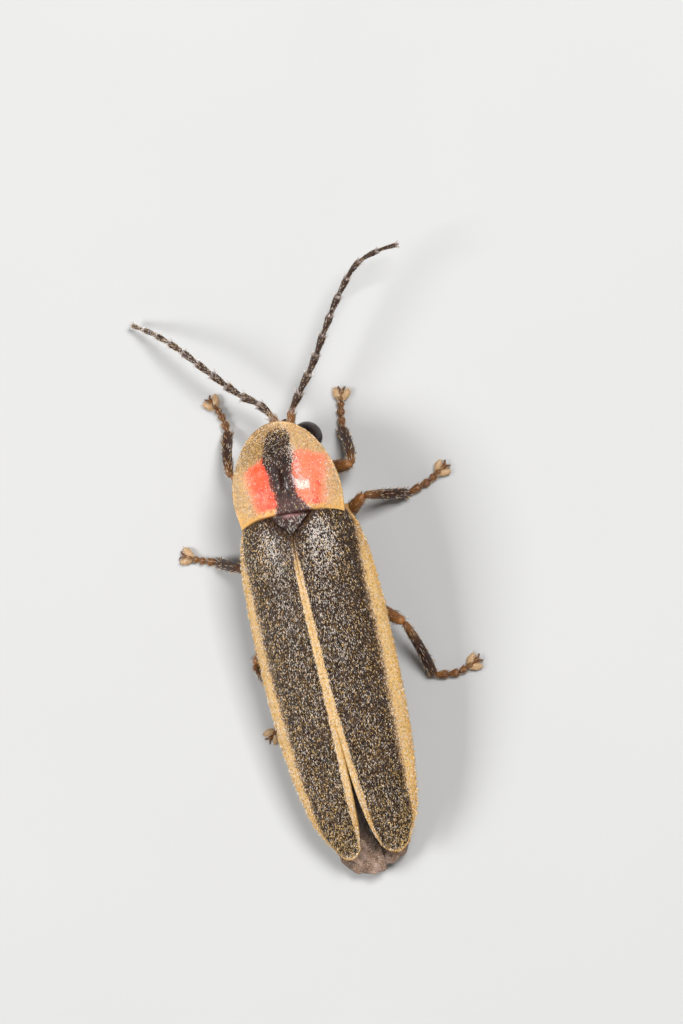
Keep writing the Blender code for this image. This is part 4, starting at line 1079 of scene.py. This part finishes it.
def shield_marks(u, v):
    """Shares of black band, coral patch, golden corner and flesh halo at a place of the shield."""
    x, y, z = np.moveaxis(shield_place(u, v), -1, 0)
    aside = np.abs(x)
    wave = 0.020 * np.sin(11 * y) + 0.012 * np.sin(27 * y + 2) + 0.010 * np.sin(31 * x)
    band = ease(0.09, -0.09, aside - by_side(x, y, BAND_LEFT, BAND_RIGHT) + wave) * ease(-6.20, -5.74, y)
    past = aside - by_side(x, y, PATCH_OUTER_LEFT, PATCH_OUTER_RIGHT)
    front = np.where(x > 0, -5.38 + 0.40 * np.abs(x - 0.5), -5.42 + 0.42 * np.clip(-x - 0.6, 0, 1))
    strip = ease(0.075, 0.035, v + 0.3 * wave)
    coral = ease(0.22, -0.16, past + wave) * ease(-0.08, 0.10, y - front + wave)
    coral = coral * (1 - 0.85 * strip) * (1 - 0.5 * band)
    corner = np.maximum(ease(1.0, 1.4, aside) * ease(-4.3, -3.8, y), strip * (1 - band))
    halo = ease(0.42, -0.05, past) * ease(-5.3, -4.9, y) * (1 - strip)
    return band, coral, corner, halo


def shield_finish():
    """Grained chitin in straw, black and coral, with a wet gleam on the right patch and painted light that
    makes it paler salmon.
    """
    finish = Finish("shield_chitin", {"IOR": 1.45, "Coat Roughness": 0.13, "Subsurface Weight": 0.10,
                                      "Subsurface Scale": 0.0002})
    coral, right = finish.note("coral"), finish.note("right")
    speck, cloud = finish.noise(0.04, 2.0), finish.noise(0.22, 3.0)
    straw = finish.fade(SHIELD_STRAW, SHIELD_CREAM, speck, 0.3, 0.7)
    straw = finish.fade(straw, SHIELD_FLECK, finish.noise(0.055, 2.0), 0.50, 0.68, 0.55)
    # Painted shade: the front left of the straw rim is darker tan.
    straw = finish.blend(finish.note("front_left_painted_shade") * 0.85, straw, SHIELD_PAINTED_SHADE_TAN)
    straw = finish.blend(finish.note("halo") * 0.65, straw, SHIELD_FLESH)
    straw = finish.blend(finish.note("corner"), straw, SHIELD_CORNER_GOLD)
    # Painted light: the right patch, on the lit side, is paler salmon than the deeper coral left one.
    patch = finish.blend(right * 0.7, SHIELD_CORAL, SHIELD_SALMON_PAINTED_LIGHT)
    patch = finish.fade(patch, SHIELD_BLUSH, cloud, 0.45, 0.75, 0.5)
    patch = finish.blend(finish.note("inner"), patch, SHIELD_RED)
    blot = finish.span(finish.noise(0.16, 2.0), 0.55, 0.66, 0.8) * finish.note("hind_patch")
    patch = finish.blend(blot, patch, SHIELD_BLOT)
    black = finish.fade(SHIELD_BLACK, SHIELD_RED_BLACK, cloud, 0.4, 0.8)
    black = finish.blend(finish.note("crimson") * 0.8, black, SHIELD_CRIMSON)
    black = finish.blend(finish.note("hind") * 0.5, black, SHIELD_MAUVE)
    colour = finish.blend(coral, straw, patch)
    colour = finish.fade(colour, black, finish.note("band") + 2.2 * (speck - 0.5), 0.3, 0.7)
    wet = coral * right
    finish.drive("Coat Weight", 0.06 + 0.46 * wet)
    relief = 1 - finish.grains(0.055) + 0.4 * speck
    return finish.made(colour, 0.34 + 0.22 * speck - 0.14 * wet, relief, 0.013)


v, u = plate_grid(rows=170, columns=190)
top = shield_place(u, v)
x, y = top[..., 0], top[..., 1]
normal = unit(top * (0.55, 0.40, 0.0) + (0.0, 1.56, 1.0))
wall = SHIELD_WALL * (0.45 + 0.55 * ease(0.0, 0.4, shield_inset(u, v)))
band, coral, corner, halo = shield_marks(u, v)
past_band = np.abs(x) - by_side(x, y, BAND_LEFT, BAND_RIGHT)
add_plate("shield", top, top - normal * wall[..., None],
          {"band": band, "coral": coral, "corner": corner, "halo": halo, "right": ease(0.1, -0.1, x),
           "hind": ease(-4.45, -4.1, y), "hind_patch": ease(-4.75, -4.45, y),
           "inner": ease(0.16, 0.02, past_band) * (1 - 0.6 * (x < 0)),
           "crimson": ease(-0.16, 0.0, past_band) * ease(-5.2, -4.9, y),
           "front_left_painted_shade": ease(-0.1, 0.5, x) * ease(-4.9, -5.45, y)}, shield_finish(), "pronotum")
draw = np.random.default_rng(120)
u, v = draw.uniform(0.005, 0.995, SHIELD_HAIRS), draw.uniform(0.005, 0.995, SHIELD_HAIRS)
# Painted highlight: a diagonal streak of extra bright silver hairs beside the band on the right patch,
# spared from thinning.
highlight_streak_v = draw.uniform(0.30, 0.74, HIGHLIGHT_STREAK_HAIRS)
highlight_streak_u = 0.375 - 0.165 * (0.72 - highlight_streak_v) + draw.normal(0, 0.016, HIGHLIGHT_STREAK_HAIRS)
rim_u = draw.choice((0.008, 0.992), RIM_HAIRS) + draw.uniform(-0.006, 0.006, RIM_HAIRS)
u = np.concatenate([u, highlight_streak_u, rim_u])
v = np.concatenate([v, highlight_streak_v, draw.uniform(0.03, 0.97, RIM_HAIRS)])
band, coral, corner, halo = shield_marks(u, v)
spot = shield_place(u, v)
highlight_streak = bell(spot[:, 0] + 0.37 + 0.18 * (spot[:, 1] + 5.4), 0.08)
highlight_streak = highlight_streak * ease(-5.70, -5.50, spot[:, 1]) * ease(-4.50, -4.75, spot[:, 1])
keep = draw.uniform(0, 1, len(u)) > np.maximum(0.92 * coral, 0.75 * corner) * (1 - highlight_streak)
u, v, band, coral, highlight_streak, spot = (values[keep] for values in (u, v, band, coral, highlight_streak, spot))
across, along, normal = skin_axes(shield_place, u, v)
normal = normal * np.sign(normal[:, 2:])
count = len(u)
splay = draw.normal(0, 0.35, count) + (0.5 + 1.0 * (np.abs(2 * u - 1) > 0.965)) * (2 * u - 1)
lean = across * splay[:, None] - along
lift = normal * draw.uniform(0.35, 0.9, (count, 1))
bright_share = 0.42 - (0.10 + 0.16 * ease(-5.35, -5.15, spot[:, 1])) * band + highlight_streak
bright = draw.uniform(0, 1, count) < bright_share
gilt = draw.uniform(0, 1, count) < 0.62 - 0.24 * band - 0.4 * coral - highlight_streak
tone = lit_tone(draw, bright, gilt, 0.36 - 0.31 * band)
sizes = draw.uniform(0.036, 0.068, count)
widths = np.where(bright, 0.014 + 0.024 * draw.uniform(0, 1, count) ** 2, 0.012)
shield_hair = hair_finish("shield_hairs", (0.10, 0.046, 0.020), (0.99, 0.68, 0.28), (0.97, 0.89, 0.82))
add_hairs("shield_hairs", on_body(spot - normal * 0.006), on_body(lean + lift) - BODY_AT,
          on_body(lean + lift * 0.3) - BODY_AT, sizes, widths, u, v, tone, shield_hair, "shield")

# Floor, light and camera. A plain pale table top, a soft key light near the lens with a wide
# fill, and a camera that looks down on the back from a little to the animal's right.
FLOOR_HALF = 0.3
TABLE_GREY, TABLE_PALE = (0.555, 0.555, 0.55), (0.58, 0.58, 0.575)
table_mesh = bpy.data.meshes.new("table_top")
table_mesh.from_pydata([(-FLOOR_HALF, -FLOOR_HALF, 0), (FLOOR_HALF, -FLOOR_HALF, 0),
                        (FLOOR_HALF, FLOOR_HALF, 0), (-FLOOR_HALF, FLOOR_HALF, 0)], [], [(0, 1, 2, 3)])
table_top = bpy.data.objects.new("table_top", table_mesh)
bpy.context.scene.collection.objects.link(table_top)
table_finish = Finish("table_paint", {"Roughness": 0.7})
table_shade = table_finish.noise(9.0, 2.0)
table_finish.drive("Base Color", table_finish.blend(table_shade, TABLE_GREY, TABLE_PALE))
table_mesh.materials.append(table_finish.material)

AIM = Vector((-0.0010161, -0.0014885, 0.00175))
LENS_PLACE = Vector((-0.042574, -0.008316, 0.197265))
LENS_UP = Vector((-0.18597, -0.97978, -0.07374))
LENS_LENGTH = 262.36


def looking(place, aim, up):
    """Place and turn of a lamp or camera that looks at a point."""
    back = (place - aim).normalized()
    right = up.cross(back).normalized()
    turned = Matrix((right, back.cross(right), back)).transposed().to_4x4()
    turned.translation = place
    return turned


def add_lamp(name, place, size, power):
    """A square lamp of a size in metres that faces the animal."""
    lamp = bpy.data.lights.new(name, "AREA")
    lamp.size = size
    lamp.energy = power
    holder = bpy.data.objects.new(name, lamp)
    bpy.context.scene.collection.objects.link(holder)
    holder.matrix_world = looking(Vector(place), AIM, Vector((0, 1, 0)))


add_lamp("key_lamp", (-0.11, -0.08, 0.22), 0.08, 0.62)
add_lamp("fill_lamp", (0.17, -0.02, 0.17), 0.10, 0.45)
add_lamp("rim_lamp", (-0.04, 0.22, 0.12), 0.14, 0.07)
world = bpy.data.worlds.new("soft_room")
world.use_nodes = True
world.node_tree.nodes["Background"].inputs["Color"].default_value = (1.0, 0.97, 0.93, 1.0)
world.node_tree.nodes["Background"].inputs["Strength"].default_value = 0.10
bpy.context.scene.world = world
bpy.context.scene.view_settings.view_transform = "Standard"

camera = bpy.data.cameras.new("camera")
camera.lens = LENS_LENGTH
camera.sensor_width = 36.0
camera.sensor_fit = "AUTO"
camera.clip_start = 0.01
camera.clip_end = 2.0
viewer = bpy.data.objects.new("camera", camera)
bpy.context.scene.collection.objects.link(viewer)
viewer.matrix_world = looking(LENS_PLACE, AIM, LENS_UP)
bpy.context.scene.camera = viewer
